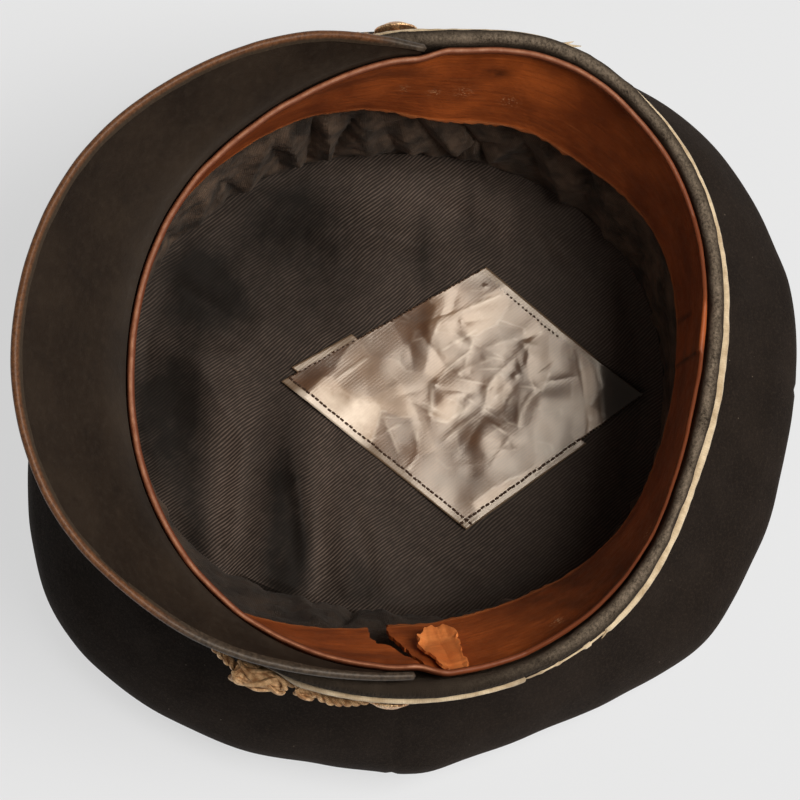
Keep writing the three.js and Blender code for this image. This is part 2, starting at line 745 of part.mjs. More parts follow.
add('crown_top', crownTop(), 'wool');
add('crown_side', crownSide(), 'wool');
add('crown_piping', crownPiping(CROWN_PIPING), 'piping');
add('cap_band', capBand(), 'velvet');
add('band_piping_upper', bandPiping(UPPER_PIPING), 'piping');
add('band_piping_lower', bandPiping(LOWER_PIPING), 'piping');
add('sweatband', sweatband(), 'leather');
add('sweatband_flap', sweatbandFlap(), 'leather');
add('lining_side', liningSide(), 'liningSide');
add('lining_top', liningTop(), 'liningTop');
add('sweat_shield', sweatShield(), 'shield');
add('visor', visor(), 'visor');
add('visor_binding', visorBinding(), 'binding');
add('chin_cord', chinCord(), 'cord');
SLIDES.forEach((slide) => add(slide.name, cordKnot(slide), 'cord'));
BUTTONS.forEach((button) => add(button.name, sideButton(button), 'button'));

export default cap;
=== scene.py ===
"""A crusher cap lying upside down on its crown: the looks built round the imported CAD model.

The shape functions repeat those of the CAD source, in millimetres from the nest's axis; place()
turns them into metres in the shared frame. Angles are compass angles from +X towards +Y.
"""

import math
from itertools import product

import bmesh
import bpy
import numpy as np
from mathutils import Matrix, Vector


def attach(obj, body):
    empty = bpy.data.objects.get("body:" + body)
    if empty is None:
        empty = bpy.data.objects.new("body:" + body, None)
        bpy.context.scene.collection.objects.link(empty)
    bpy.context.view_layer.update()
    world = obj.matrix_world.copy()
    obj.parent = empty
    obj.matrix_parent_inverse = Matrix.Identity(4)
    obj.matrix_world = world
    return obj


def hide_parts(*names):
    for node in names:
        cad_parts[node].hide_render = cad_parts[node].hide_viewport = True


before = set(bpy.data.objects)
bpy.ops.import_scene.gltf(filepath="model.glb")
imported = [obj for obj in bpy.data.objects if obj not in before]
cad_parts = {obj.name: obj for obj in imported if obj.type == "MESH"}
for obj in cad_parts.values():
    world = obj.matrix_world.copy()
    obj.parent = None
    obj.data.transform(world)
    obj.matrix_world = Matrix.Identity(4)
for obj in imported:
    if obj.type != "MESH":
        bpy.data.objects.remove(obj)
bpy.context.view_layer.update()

MM = 0.001

# ---- dimensions, as in the CAD source --------------------------------------------------------

AXIS = (1.8, 7.8)
RIM_HEIGHT = 105
RIM_SLOPE = 0.045
LEVEL_BELOW = 15

# the head opening's mean radius, where patterns that run round it are looked up
MEAN_REACH = 85
RIM = (90.5, 85.7, 4.7, -2.3, 2.12)
RIM_SWELLS = [(142, 80, 18.5), (172, 14, -1.6), (151, 14, 0.9)]
CROWN = (122, 123.5, 1, 4, 2.45)
CROWN_SWELLS = [
    (2, 13, 1.4), (31.5, 30, -9.5), (103.5, 49, 10.5), (232, 60, -5), (275, 32, -3), (303, 34, 2.7),
    (340, 14, 1), (0, 10, -0.8), (52, 16, -0.6), (72, 14, 0.9), (105, 12, 1), (132, 14, 0.7),
]
# where the crown side's panels are sewn together, degrees
CROWN_SEAMS = (1, 91, 181, 271)
LINING = (79, 91, -4, 5, 2.2)

# height and share
CROWN_WALL = [(10.4, 0.86), (15, 0.955), (21, 1), (28, 0.96), (36, 0.78), (46, 0.48), (57, 0.15), (64.5, 0)]
CROWN_TUCK = 5.2
CLOTH = 1.6
CROWN_TOP = [(1, 9.4), (0.965, 4.6), (0.92, 1.3), (0.86, 0), (0.45, 0), (0, 0)]

# out and height
BAND_SECTION = [(3.4, 65.3), (3.4, 88), (2.1, 98), (1.9, 102.6), (3.2, 104.7), (5, 105), (6.7, 104),
                (7.2, 101.5), (6.9, 97), (6.9, 82), (6.4, 66.8), (5.6, 65.3)]
BAND_FACE = 6.9
BAND_LEANS = [(2, 62, 11), (156, 58, 7)]
LEAN_FROM, LEAN_OVER, LEAN_BEND = 99, 39, 0.8

LOWER_PIPING = (8.45, 97.5, 1.25)
UPPER_PIPING = (6.9, 64.7, 1.1)
CROWN_PIPING = (1.5, 9.5, 1.1)

LEATHER = 1.2
SWEATBAND_LEANS = [(-3, 48, 6), (38, 40, 7), (160, 55, 8)]
SWEATBAND_ROLL = [(1.5, 103.4), (1.1, 104.8), (0.2, 105.3), (-0.8, 104.8), (-1, 103.8), (-0.2, 102.6)]
FREE_EDGE = 60
TUCK_DEPTH, TUCK_FROM, TUCK_HEIGHT = 2.5, 90, 84
RIP = [(-10, 40), (-10.2, 72), (-8.6, 77.5), (-4, 79.5), (2.6, 97.5), (4.4, 98.5), (0.4, 84), (-1.4, 76),
       (-4.2, 69), (-3.2, 40)]
RIP_REACH = (55, 100)

# height and share
LINING_SIDE = [(8.4, 1), (20, 0.9), (34, 0.58), (48, 0.22), (60, 0), (80, 0)]
LINING_TUCK = 2.9
LINING_SEAM_IN = 1.6
LINING_CLOTH = 1
LINING_TOP = [(1, 7.4), (0.93, 4.4), (0.82, 3), (0.6, 2.6), (0.32, 2.6), (0, 2.6)]
LINING_FOLDS = [
    (52, -38, 30, 9, -8, 5), (50, -12, 26, 8, 6, 4), (-56, -12, 24, 12, 80, 4), (-8, -60, 26, 12, 20, 4),
]
SHIELD_CORNERS = [(-5, -33.3), (43.8, 28.5), (-0.3, 90), (-44.6, 35.4)]

VISOR_EDGE = [(1.8, 2.4), (13.2, 14.2), (21.8, 21.4), (27.4, 26.8), (33.3, 31.8), (29.1, 28.6), (16.4, 17.8),
              (5.5, 7.8), (1.8, 2.4)]
VISOR_SPAN = (-92, 92)
VISOR_PLATE = (-91, 84)
VISOR_SHEET = 1.6
VISOR_BEND = (0.4, 105.4, 100.5)
VISOR_HOLLOW = 1.3
BINDING_SPAN = (-92, 90)
BINDING_RADIUS = 1.2

CORD_RADIUS, CORD_HEIGHT, CORD_HALF_GAP, CORD_SLACK, CORD_CLOSE = 1.5, 88, 1.9, 10.3, 8.9
CORD_EYE_RADIUS, CORD_EYE_OPENS = 3.5, 7
CORD_STARTS, CORD_ENDS = (38, 50), (75, 80)
BUTTONS = {"side_button_right": -3.5, "side_button_left": 182.2}
BUTTON_SHANK, BUTTON_HEAD, BUTTON_RIM, BUTTON_DOME, BUTTON_FOOT, BUTTON_SEAT = 1.5, 6.8, 0.7, 2, 0.4, 10.9
KNOTS = {
    "cord_knot_large_right": (-25.3, 18.4, 2.8, 4, 5), "cord_knot_small_right": (-17.6, 6.5, 1.9, 2, 5),
    "cord_knot_large_left": (205.3, 18.4, 2.8, 4, 5), "cord_knot_small_left": (197.6, 6.5, 1.9, 2, 5),
}
KNOT_BACK_WALL, KNOT_CLEARANCE = 0.9, 0.55
KNOT_STRAND = 0.58
KNOT_RAISED = 0.8

# ---- shape functions -------------------------------------------------------------------------


def smoothstep(x, low, high):
    t = np.clip((x - low) / (high - low), 0, 1)
    return t * t * (3 - 2 * t)


def mix(a, b, share):
    return a + (b - a) * share


def away_from(angle, at):
    """signed degrees from `at` round to an angle"""
    return (angle - at + 180) % 360 - 180


def hump(angle, at, spread):
    return np.cos(np.minimum(np.abs(away_from(angle, at)) / spread, 1) * np.pi / 2) ** 2


def sum_humps(rows, angle):
    return sum(size * hump(angle, at, spread) for at, spread, size in rows)


def oval_reach(oval, angle):
    half_width, half_length, shift_x, shift_y, square = oval
    c, s = np.cos(np.radians(angle)), np.sin(np.radians(angle))
    round_part = np.abs(c / half_width) ** square + np.abs(s / half_length) ** square
    return round_part ** (-1 / square) + shift_x * c + shift_y * s


def rim_reach(angle):
    return oval_reach(RIM, angle) + sum_humps(RIM_SWELLS, angle)


def crown_reach(angle):
    return oval_reach(CROWN, angle) + sum_humps(CROWN_SWELLS, angle)


def lining_reach(angle):
    return oval_reach(LINING, angle)


def hang(height):
    return (np.maximum(LEAN_FROM - height, 0) / LEAN_OVER) ** LEAN_BEND


def wall_reach(angle, height):
    return rim_reach(angle) - sum_humps(BAND_LEANS, angle) * hang(height)


def crown_wall_reach(angle, share):
    tuck = wall_reach(angle, CROWN_WALL[-1][0]) + CROWN_TUCK
    return mix(tuck, crown_reach(angle), share)


def seam_reach(angle):
    return crown_wall_reach(angle, CROWN_WALL[0][1])


def from_front(angle):
    return np.abs((angle + 270) % 360 - 180)


def tuck_in(angle, height):
    along = 1 - smoothstep(from_front(angle), TUCK_FROM, TUCK_FROM + 7)
    return TUCK_DEPTH * along * smoothstep(height, TUCK_HEIGHT, LEAN_FROM)


def leather_reach(angle, height):
    lean = sum_humps(SWEATBAND_LEANS, angle) * hang(height) ** 1.15
    return wall_reach(angle, height) - tuck_in(angle, height) - lean


def place(angle, reach, height):
    angle, reach, height = np.broadcast_arrays(np.asarray(angle, float), reach, height)
    x, y = reach * np.cos(np.radians(angle)), reach * np.sin(np.radians(angle))
    settled = smoothstep(height, LEVEL_BELOW, RIM_HEIGHT)
    return np.stack([x - AXIS[0], y - AXIS[1], height - RIM_SLOPE * settled * y], -1) * MM


def rounded(rows, count, soft, closed=False):
    """even steps along a row of corners, rounded over `soft`, in the rows' own units"""
    rows = np.asarray(rows, float)
    if closed:
        rows = np.vstack([rows, rows[:1]])
    run = np.concatenate([[0], np.cumsum(np.linalg.norm(np.diff(rows, axis=0), axis=1))])
    fine = np.linspace(0, run[-1], count * 12 + 1)
    line = np.stack([np.interp(fine, run, column) for column in rows.T], 1)
    reach = max(int(2.5 * soft / fine[1]), 1)
    kernel = np.exp(-0.5 * (np.arange(-reach, reach + 1) * fine[1] / soft) ** 2)
    kernel /= kernel.sum()
    if closed:
        body = line[:-1]
        padded = np.vstack([body[-reach:], body, body[:reach]])
    else:
        padded = np.vstack([2 * line[0] - line[reach:0:-1], line, 2 * line[-1] - line[-2:-reach - 2:-1]])
    smooth = np.stack([np.convolve(column, kernel, "valid") for column in padded.T], 1)
    return smooth[::12]


def through(values, slot):
    """a smooth run through evenly spaced values"""
    values = np.asarray(values, float)
    row = np.clip(np.floor(slot).astype(int), 0, len(values) - 2)
    t = slot - row
    a, b, c, d = (values[np.clip(row + k, 0, len(values) - 1)] for k in (-1, 0, 1, 2))
    return b + 0.5 * ((c - a) * t + (2 * a - 5 * b + 4 * c - d) * t * t + (3 * b - a - 3 * c + d) * t ** 3)


# ---- noise -----------------------------------------------------------------------------------


def lattice(cell, seed):
    n = (cell[..., 0] * 73856093) ^ (cell[..., 1] * 19349663) ^ (cell[..., 2] * 83492791) ^ (seed * 2654435)
    n = (n ^ (n >> 13)) * 1274126177
    n = (n ^ (n >> 15)) & 0xffff
    return n / 32767.5 - 1


def noise(points, size, seed=0):
    """smooth noise between -1 and 1 at points in metres, with features of `size` millimetres"""
    q = points / (size * MM)
    cell = np.floor(q).astype(np.int64)
    f = q - cell
    f = f * f * f * (f * (f * 6 - 15) + 10)
    total = 0
    for corner in product((0, 1), repeat=3):
        weight = np.prod(np.where(np.array(corner) == 1, f, 1 - f), axis=-1)
        total = total + weight * lattice(cell + np.array(corner), seed)
    return total * 1.5


# ---- meshes ----------------------------------------------------------------------------------


def steps_round(count):
    return np.arange(count) * 360 / count


def normals_of(points, wraps):
    if wraps:
        along = np.roll(points, -1, 0) - np.roll(points, 1, 0)
    else:
        along = np.gradient(points, axis=0)
    normal = np.cross(along, np.gradient(points, axis=1))
    size = np.linalg.norm(normal, axis=-1, keepdims=True)
    flat = size[..., 0] < 1e-14
    normal = normal / np.maximum(size, 1e-14)
    normal[flat] = (0, 0, 1)
    return normal


def pushed(points, wraps, distance):
    """points moved along the surface's normal by distances in millimetres"""
    return points + normals_of(points, wraps) * (distance * MM)[..., None]


def outward_sign(points):
    """1 where a ring's normals point away from the axis, otherwise -1"""
    normal = normals_of(points, True)
    outward = points - points.mean((0, 1))
    outward[..., 2] = 0
    return 1.0 if (normal * outward).sum() > 0 else -1.0


def grid_faces(stations, rows, wraps):
    i = np.arange(stations if wraps else stations - 1)[:, None]
    j = np.arange(rows - 1)[None, :]
    a, b = i * rows + j, (i + 1) % stations * rows + j
    return np.stack([a, b, b + 1, a + 1], -1).reshape(-1, 4)


def grid_uvs(uv):
    return np.stack([uv[:-1, :-1], uv[1:, :-1], uv[1:, 1:], uv[:-1, 1:]], 2).reshape(-1, 4, 2)


def spread_uv(points, wraps):
    """lengths along and across a grid, in metres"""
    closed = np.concatenate([points, points[:1]]) if wraps else points
    middle = closed[:, closed.shape[1] // 2]
    u = np.concatenate([[0], np.cumsum(np.linalg.norm(np.diff(middle, axis=0), axis=1))])
    across = np.linalg.norm(np.diff(closed, axis=1), axis=-1)
    v = np.concatenate([np.zeros((len(closed), 1)), np.cumsum(across, axis=1)], 1)
    return np.stack([np.broadcast_to(u[:, None], v.shape), v], -1)


class Solid:
    """collects grids and tubes of quads into one mesh"""

    def __init__(self):
        self.points, self.faces, self.uvs, self.masks = [], [], [], {}
        self.count = 0

    def add(self, points, faces, uvs, masks=None):
        points = points.reshape(-1, 3)
        self.points.append(points)
        self.faces.append(faces + self.count)
        self.uvs.append(uvs)
        for name in set(self.masks) | set(masks or {}):
            rows = self.masks.setdefault(name, [np.zeros(self.count)] if self.count else [])
            value = (masks or {}).get(name, 0.0)
            rows.append(np.broadcast_to(value, (len(points),)) if np.ndim(value) == 0 else value.reshape(-1))
        self.count += len(points)

    def wall(self, outside, inside, wraps, uv=None, masks=None):
        """a closed wall between two grids"""
        stations, rows = outside.shape[:2]
        uv = spread_uv(outside, wraps) if uv is None else uv
        faces = grid_faces(stations, rows, wraps)
        uvs = grid_uvs(uv)
        second = stations * rows
        i = np.arange(stations if wraps else stations - 1)
        following = (i + 1) % stations
        parts, part_uvs = [faces, faces[:, ::-1] + second], [uvs, uvs[:, ::-1]]
        for row, turn in ((0, 1), (rows - 1, -1)):
            a, b = i * rows + row, following * rows + row
            parts.append(np.stack([a, a + second, b + second, b], -1)[:, ::turn])
            ua, ub = uv[i, row], uv[i + 1, row]
            part_uvs.append(np.stack([ua, ua, ub, ub], 1)[:, ::turn])
        if not wraps:
            j = np.arange(rows - 1)
            for station, turn in ((0, 1), (stations - 1, -1)):
                a = station * rows + j
                parts.append(np.stack([a, a + 1, a + 1 + second, a + second], -1)[:, ::turn])
                ua, ub = uv[station, j], uv[station, j + 1]
                part_uvs.append(np.stack([ua, ub, ub, ua], 1)[:, ::turn])
        both = {name: np.concatenate([value.reshape(-1)] * 2) for name, value in (masks or {}).items()}
        self.add(np.concatenate([outside.reshape(-1, 3), inside.reshape(-1, 3)]), np.concatenate(parts),
                 np.concatenate(part_uvs), both)

    def ring_section(self, points, closed_along, masks=None):
        """a closed section [station][corner] carried along; open runs get pointed ends"""
        stations, sides = points.shape[:2]
        if not closed_along:
            for end in (0, -1):
                middle = points[end].mean(0, keepdims=True)
                points[end] = middle + (points[end] - middle) * 0.05
        i = np.arange(stations if closed_along else stations - 1)[:, None]
        j = np.arange(sides)[None, :]
        a, b = i * sides + j, (i + 1) % stations * sides + j
        c, d = (i + 1) % stations * sides + (j + 1) % sides, i * sides + (j + 1) % sides
        faces = np.stack([a, b, c, d], -1).reshape(-1, 4)
        closed = np.concatenate([points, points[:1]]) if closed_along else points
        length = np.concatenate([[0], np.cumsum(np.linalg.norm(np.diff(closed.mean(1), axis=0), axis=1))])
        middle = points[stations // 2]
        girth = np.linalg.norm(np.diff(np.concatenate([middle, middle[:1]]), axis=0), axis=1)
        v = np.concatenate([[0], np.cumsum(girth)])
        uv = np.stack(np.meshgrid(length, v, indexing="ij"), -1)
        self.add(points, faces, grid_uvs(uv), masks)

    def build(self, name, material, sharp=50):
        points = np.concatenate(self.points)
        faces = np.concatenate(self.faces)
        corners = points[faces]
        a, b, c, d = (corners[:, k] for k in range(4))
        volume = (np.cross(a, b) * c).sum() + (np.cross(a, c) * d).sum()
        if volume < 0:
            faces = faces[:, ::-1]
            self.uvs = [uvs[:, ::-1] for uvs in self.uvs]
        mesh = bpy.data.meshes.new(name)
        mesh.from_pydata(points.tolist(), [], faces.tolist())
        layer = mesh.uv_layers.new(name="UVMap")
        layer.data.foreach_set("uv", np.concatenate(self.uvs).reshape(-1))
        for mask, values in self.masks.items():
            attribute = mesh.attributes.new(mask, "FLOAT", "POINT")
            attribute.data.foreach_set("value", np.concatenate(values).astype(np.float32))
        mesh.polygons.foreach_set("use_smooth", np.ones(len(mesh.polygons), bool))
        mesh.set_sharp_from_angle(angle=math.radians(sharp))
        mesh.materials.append(material)
        obj = bpy.data.objects.new(name, mesh)
        bpy.context.scene.collection.objects.link(obj)
        return obj


def sheet_solid(points, wraps, thickness, masks=None):
    """a sheet with its face at the points and its back `thickness` millimetres behind them"""
    solid = Solid()
    back = pushed(points, wraps, np.full(points.shape[:2], -thickness))
    solid.wall(points, back, wraps, None, masks)
    return solid


def tube_points(path, radius, sides, closed, outward=None, flat=1.0):
    """sections round a path [station]; outward is roughly which way the first corner points"""
    if closed:
        ahead = np.roll(path, -1, 0) - np.roll(path, 1, 0)
    else:
        ahead = np.gradient(path, axis=0)
    ahead /= np.linalg.norm(ahead, axis=1, keepdims=True)
    outward = path - path.mean(0) if outward is None else outward
    side = np.cross(ahead, outward)
    side /= np.maximum(np.linalg.norm(side, axis=1, keepdims=True), 1e-12)
    out = np.cross(side, ahead)
    turn = (np.arange(sides) + 0.5) * 2 * np.pi / sides
    radius = np.broadcast_to(np.asarray(radius, float), (len(path),))[:, None, None] * MM
    return path[:, None] + radius * (np.cos(turn)[None, :, None] * out[:, None] * flat
                                     + np.sin(turn)[None, :, None] * side[:, None])


def register(obj, slot, *nodes):
    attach(obj, "root")
    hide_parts(*nodes)
    return obj


# ---- shading nodes ---------------------------------------------------------------------------


class Shader:
    """a Principled material with short ways to add nodes"""

    def __init__(self, name, **values):
        self.material = bpy.data.materials.new(name)
        self.material.use_nodes = True
        self.tree = self.material.node_tree
        self.bsdf = self.tree.nodes["Principled BSDF"]
        self.set(**values)

    def put(self, socket, value):
        if isinstance(value, bpy.types.NodeSocket):
            self.tree.links.new(value, socket)
        else:
            socket.default_value = value

    def set(self, **values):
        for name, value in values.items():
            self.put(self.bsdf.inputs[name.replace("_", " ").replace("  ", " ")], value)

    def node(self, kind, output=0, settings=None, **inputs):
        node = self.tree.nodes.new("ShaderNode" + kind)
        for name, value in (settings or {}).items():
            setattr(node, name, value)
        for name, value in inputs.items():
            self.put(node.inputs[int(name[1:]) if name[0] == "i" and name[1:].isdigit() else name], value)
        return node.outputs[output]

    def spot(self):
        return self.node("TexCoord", "Object")

    def uv(self):
        return self.node("TexCoord", "UV")

    def mask(self, name):
        return self.node("Attribute", "Fac", {"attribute_name": name})

    def math(self, operation, a, b=0.0, c=0.0):
        return self.node("Math", 0, {"operation": operation}, i0=a, i1=b, i2=c)

    def times(self, a, b):
        return self.math("MULTIPLY", a, b)

    def cells(self, size):
        """distance to the middle of cells of `size` millimetres"""
        return self.node("TexVoronoi", 0, {"feature": "F1"}, Vector=self.spot(), Scale=1 / (size * MM))

    def drawn_out(self, share):
        """the surface's own coordinates, with grain drawn out along the first"""
        return self.node("Mapping", 0, None, Vector=self.uv(), Scale=(share, 1, 1))

    def noise(self, size, detail=3.0, roughness=0.55, vector=None):
        """grain of `size` millimetres, 0 to 1"""
        return self.node("TexNoise", 0, None, Vector=vector or self.spot(), Scale=1 / (size * MM),
                         Detail=detail, Roughness=roughness)

    def map_range(self, value, low, high, to_low=0.0, to_high=1.0):
        return self.node("MapRange", 0, None, Value=value, i1=low, i2=high, i3=to_low, i4=to_high)

    def mix(self, share, a, b):
        return self.node("Mix", 2, {"data_type": "RGBA"}, i0=share, i6=a, i7=b)

    def bump(self, height, distance, normal=None):
        """relief of `distance` millimetres where the height runs from 0 to 1"""
        inputs = dict(Height=height, Distance=distance * MM, Strength=1.0)
        if normal is not None:
            inputs["Normal"] = normal
        return self.node("Bump", 0, None, **inputs)

    def waves(self, axis, pitch, distortion=0.0):
        """lines square to an axis of the surface map, with a pitch in millimetres"""
        parts = self.node("SeparateXYZ", axis, None, i0=self.uv())
        if distortion:
            parts = self.math("ADD", parts, distortion)
        turns = self.math("MULTIPLY", parts, 2 * math.pi / (pitch * MM))
        return self.math("MULTIPLY_ADD", self.math("SINE", turns), 0.5, 0.5)


def colour(r, g, b):
    """linear colour from an 8-bit display colour"""
    def linear(value):
        value /= 255
        return value / 12.92 if value <= 0.04045 else ((value + 0.055) / 1.055) ** 2.4
    return (linear(r), linear(g), linear(b), 1.0)


def wool():
    s = Shader("wool", Roughness=0.92, Sheen_Weight=0.09, Sheen_Roughness=0.4,
               Sheen_Tint=colour(150, 132, 120), Specular_IOR_Level=0.15)
    broad = s.noise(18, 4)
    fuzz = s.noise(0.55, 4, 0.7)
    base = s.mix(s.map_range(broad, 0.35, 0.68), colour(27, 22, 19), colour(38, 32, 28))
    grain = s.noise(0.9, 3, 0.6)
    base = s.mix(s.map_range(grain, 0.5, 0.7, 0, 0.6), base, colour(52, 44, 38))
    base = s.mix(s.map_range(fuzz, 0.5, 0.8, 0, 0.4), base, colour(70, 60, 53))
    dust = s.cells(5.5)
    near = s.times(s.map_range(dust, 0.03, 0.045, 0.6, 0), s.map_range(broad, 0.5, 0.56))
    base = s.mix(near, base, colour(140, 130, 118))
    s.set(Base_Color=base)
    weave = s.noise(0.35, 3, 0.7)
    s.set(Normal=s.bump(weave, 0.22, s.bump(s.noise(2.2, 3), 0.25)))
    return s.material


def velvet():
    s = Shader("velvet", Roughness=0.95, Sheen_Weight=0.15, Sheen_Roughness=0.35,
               Sheen_Tint=colour(170, 152, 134), Specular_IOR_Level=0.1)
    blotch = s.noise(0.9, 6, 0.75)
    wide = s.noise(6, 3)
    share = s.times(s.mask("worn"), s.map_range(s.math("MULTIPLY_ADD", wide, 0.3, blotch), 0.47, 0.8))
    base = s.mix(wide, colour(36, 31, 26), colour(62, 54, 47))
    base = s.mix(share, base, colour(160, 147, 131))
    uneven = s.times(s.math("SUBTRACT", s.noise(6, 3), 0.5), 0.004)
    # dark ticks painted into the gathers' grooves: painted shade
    shaded_ticks = s.times(s.mask("gather"), s.map_range(s.waves(0, 1.4, distortion=uneven), 0.45, 0.75, 0, 0.6))
    base = s.mix(shaded_ticks, base, colour(18, 15, 13))
    s.set(Base_Color=base)
    pile = s.noise(0.45, 3, 0.7)
    s.set(Normal=s.bump(shaded_ticks, -0.3, s.bump(pile, 0.25, s.bump(blotch, 0.24))))
    return s.material


def piping_cloth():
    s = Shader("piping_cloth", Roughness=0.85, Sheen_Weight=0.25)
    ribs = s.waves(0, 0.75)
    grime = s.noise(5, 4, 0.65)
    base = s.mix(s.map_range(grime, 0.34, 0.62), colour(190, 168, 135), colour(234, 217, 186))
    spots = s.noise(1.1, 3, 0.7)
    base = s.mix(s.map_range(spots, 0.62, 0.78, 0, 0.6), base, colour(120, 100, 78))
    base = s.mix(s.times(s.mask("worn"), 0.85), base, colour(112, 100, 88))
    base = s.mix(s.map_range(ribs, 0, 0.5, 0.08, 0), base, colour(120, 104, 82))
    s.set(Base_Color=base, Normal=s.bump(ribs, 0.04, s.bump(s.noise(0.4, 3), 0.12)))
    return s.material


def leather(name, light, dark, edge):
    s = Shader(name, Roughness=0.5, Specular_IOR_Level=0.35)
    broad = s.noise(22, 4, 0.6)
    fine = s.noise(3.2, 5, 0.65)
    streaks = s.noise(1.3, 5, 0.65, vector=s.drawn_out(0.07))
    base = s.mix(s.map_range(broad, 0.35, 0.66), dark, light)
    base = s.mix(s.map_range(streaks, 0.46, 0.7, 0, 0.6), base, dark)
    base = s.mix(s.map_range(streaks, 0.28, 0.42, 0.4, 0), base, edge)
    base = s.mix(s.map_range(fine, 0.5, 0.75, 0, 0.35), base, dark)
    # stains and dark joins, with painted shade on the walls turned from the light
    stain = s.times(s.mask("stain"), s.map_range(s.noise(6, 4), 0.3, 0.6, 0.4, 1))
    base = s.mix(stain, base, colour(62, 28, 10))
    base = s.mix(s.times(s.mask("hem"), s.map_range(streaks, 0.3, 0.6, 1, 0.3)), base, edge)
    # the roll is painted darker on its sides as shade, with a painted highlight along its crest
    pale = s.mix(s.map_range(fine, 0.35, 0.7), colour(196, 138, 104), colour(144, 88, 62))
    shaded_roll = s.mix(s.mask("pale"), colour(108, 56, 34), pale)
    base = s.mix(s.mask("roll"), base, shaded_roll)
    base = s.mix(s.mask("bright"), base, colour(176, 92, 44))
    scuff = s.times(s.mask("scuff"), s.map_range(s.noise(0.9, 4, 0.7), 0.55, 0.6))
    base = s.mix(scuff, base, colour(214, 170, 130))
    s.set(Base_Color=base)
    s.set(Roughness=s.map_range(fine, 0.3, 0.7, 0.42, 0.62))
    pores = s.cells(0.8)
    lines = s.times(s.waves(1, 0.6), s.mask("hem"))
    grain = s.bump(pores, 0.05, s.bump(streaks, 0.16, s.bump(s.noise(9, 3), 0.5)))
    s.set(Normal=s.bump(lines, 0.16, grain))
    return s.material


def side_lining_cloth():
    s = Shader("side_lining_cloth", Roughness=0.44, Sheen_Weight=0.05, Specular_IOR_Level=0.45)
    threads = s.times(s.waves(0, 0.6), s.waves(1, 0.6))
    base = s.mix(s.map_range(s.noise(9, 4), 0.36, 0.64), colour(46, 38, 31), colour(124, 104, 88))
    base = s.mix(s.map_range(s.noise(1.6, 4, 0.7), 0.55, 0.8, 0, 0.6), base, colour(140, 118, 100))
    base = s.mix(s.map_range(threads, 0, 1, 0.5, 0), base, colour(16, 12, 10))
    # painted shade: the side lining darker round 342°
    base = s.mix(s.times(s.mask("greasy"), 0.7), base, colour(20, 16, 14))
    s.set(Base_Color=base)
    s.set(Normal=s.bump(threads, 0.14, s.bump(s.noise(2.4, 4), 0.7)))
    return s.material


def lining_twill():
    s = Shader("lining_twill", Roughness=0.6, Sheen_Weight=0.02, Specular_IOR_Level=0.13)
    wobble = s.times(s.math("SUBTRACT", s.noise(32, 2), 0.5), 0.005)
    wale = s.waves(1, 0.96, distortion=wobble)
    # the twill's lines fade out where the walls' shadow falls
    thread = s.times(s.map_range(wale, 0.3, 0.85), s.mask("crisp"))
    patch = s.map_range(s.noise(15, 4, 0.6), 0.34, 0.66, -0.16, 0.16)
    smears = s.map_range(s.noise(4.5, 3, 0.6), 0.3, 0.7, -0.14, 0.14)
    # painted light and shade from the twill's mask, with random patches and smears of tone
    tone = s.map_range(s.math("ADD", s.math("ADD", s.mask("tone"), patch), smears), -1, 1)
    dark = s.mix(tone, colour(9, 7, 6), colour(30, 25, 21))
    light = s.mix(tone, colour(36, 31, 27), colour(130, 116, 108))
    slubs = s.map_range(s.noise(1.1, 2, vector=s.drawn_out(0.5)), 0.35, 0.7, 0.64, 1.16)
    base = s.mix(s.math("MULTIPLY_ADD", s.times(thread, slubs), 0.72, 0.14), dark, light)
    s.set(Base_Color=base, Normal=s.bump(thread, 0.15, s.bump(s.noise(4, 4), 0.3)))
    return s.material


def celluloid():
    """aged film: clear and brown in places, milky in others, with the twill's lines pressed into it, and
    painted glare and shade
    """
    s = Shader("celluloid", Roughness=0.28, IOR=1.6, Alpha=0.88, Specular_IOR_Level=0.62,
               Specular_Tint=colour(255, 250, 242))
    clear = s.mix(s.map_range(s.noise(9, 4), 0.35, 0.65), colour(76, 48, 28), colour(104, 72, 48))
    # the film's milkiness, with painted glare on the facets turned to the light
    milk = s.times(s.map_range(s.mask("milk"), 0.12, 1), s.map_range(s.noise(7, 4), 0.3, 0.7, 0.54, 0.76))
    tint = s.mix(milk, clear, colour(200, 172, 144))
    # the most glaring places are painted near white: painted glare
    tint = s.mix(s.map_range(milk, 0.5, 0.76, 0, 0.8), tint, colour(246, 234, 218))
    tint = s.mix(s.mask("margin"), tint, s.mix(milk, colour(112, 90, 66), colour(244, 234, 220)))
    lines = s.map_range(s.waves(1, 0.96), 0.2, 0.8)
    tint = s.mix(s.times(lines, s.map_range(milk, 0, 0.5, 0.3, 0.03)), tint, colour(50, 32, 22))
    # whitened creases, with painted highlights along them and along the facets' edges
    tint = s.mix(s.times(s.mask("creased"), 0.45), tint, colour(255, 246, 232))
    # painted shade at the film's far corner, where the wall's shadow falls
    tint = s.mix(s.times(s.mask("dark"), 0.9), tint, colour(38, 27, 20))
    specks = s.times(s.mask("holes"), s.map_range(s.noise(0.7, 3), 0.45, 0.6))
    tint = s.mix(specks, tint, colour(70, 46, 28))
    s.set(Base_Color=tint, Normal=s.bump(lines, 0.01))
    return s.material


def visor_underside():
    s = Shader("visor_fibre", Roughness=0.6, Specular_IOR_Level=0.25)
    broad = s.noise(24, 4, 0.6)
    fine = s.noise(2.4, 5, 0.7)
    base = s.mix(s.map_range(broad, 0.32, 0.68), colour(30, 22, 16), colour(46, 37, 29))
    base = s.mix(s.map_range(fine, 0.5, 0.8, 0, 0.3), base, colour(62, 52, 42))
    base = s.mix(s.map_range(s.noise(7, 3), 0.6, 0.75, 0, 0.4), base, colour(24, 18, 15))
    s.set(Base_Color=base, Roughness=s.map_range(fine, 0.3, 0.7, 0.5, 0.75))
    s.set(Normal=s.bump(fine, 0.12, s.bump(s.noise(0.5, 2), 0.04)))
    return s.material


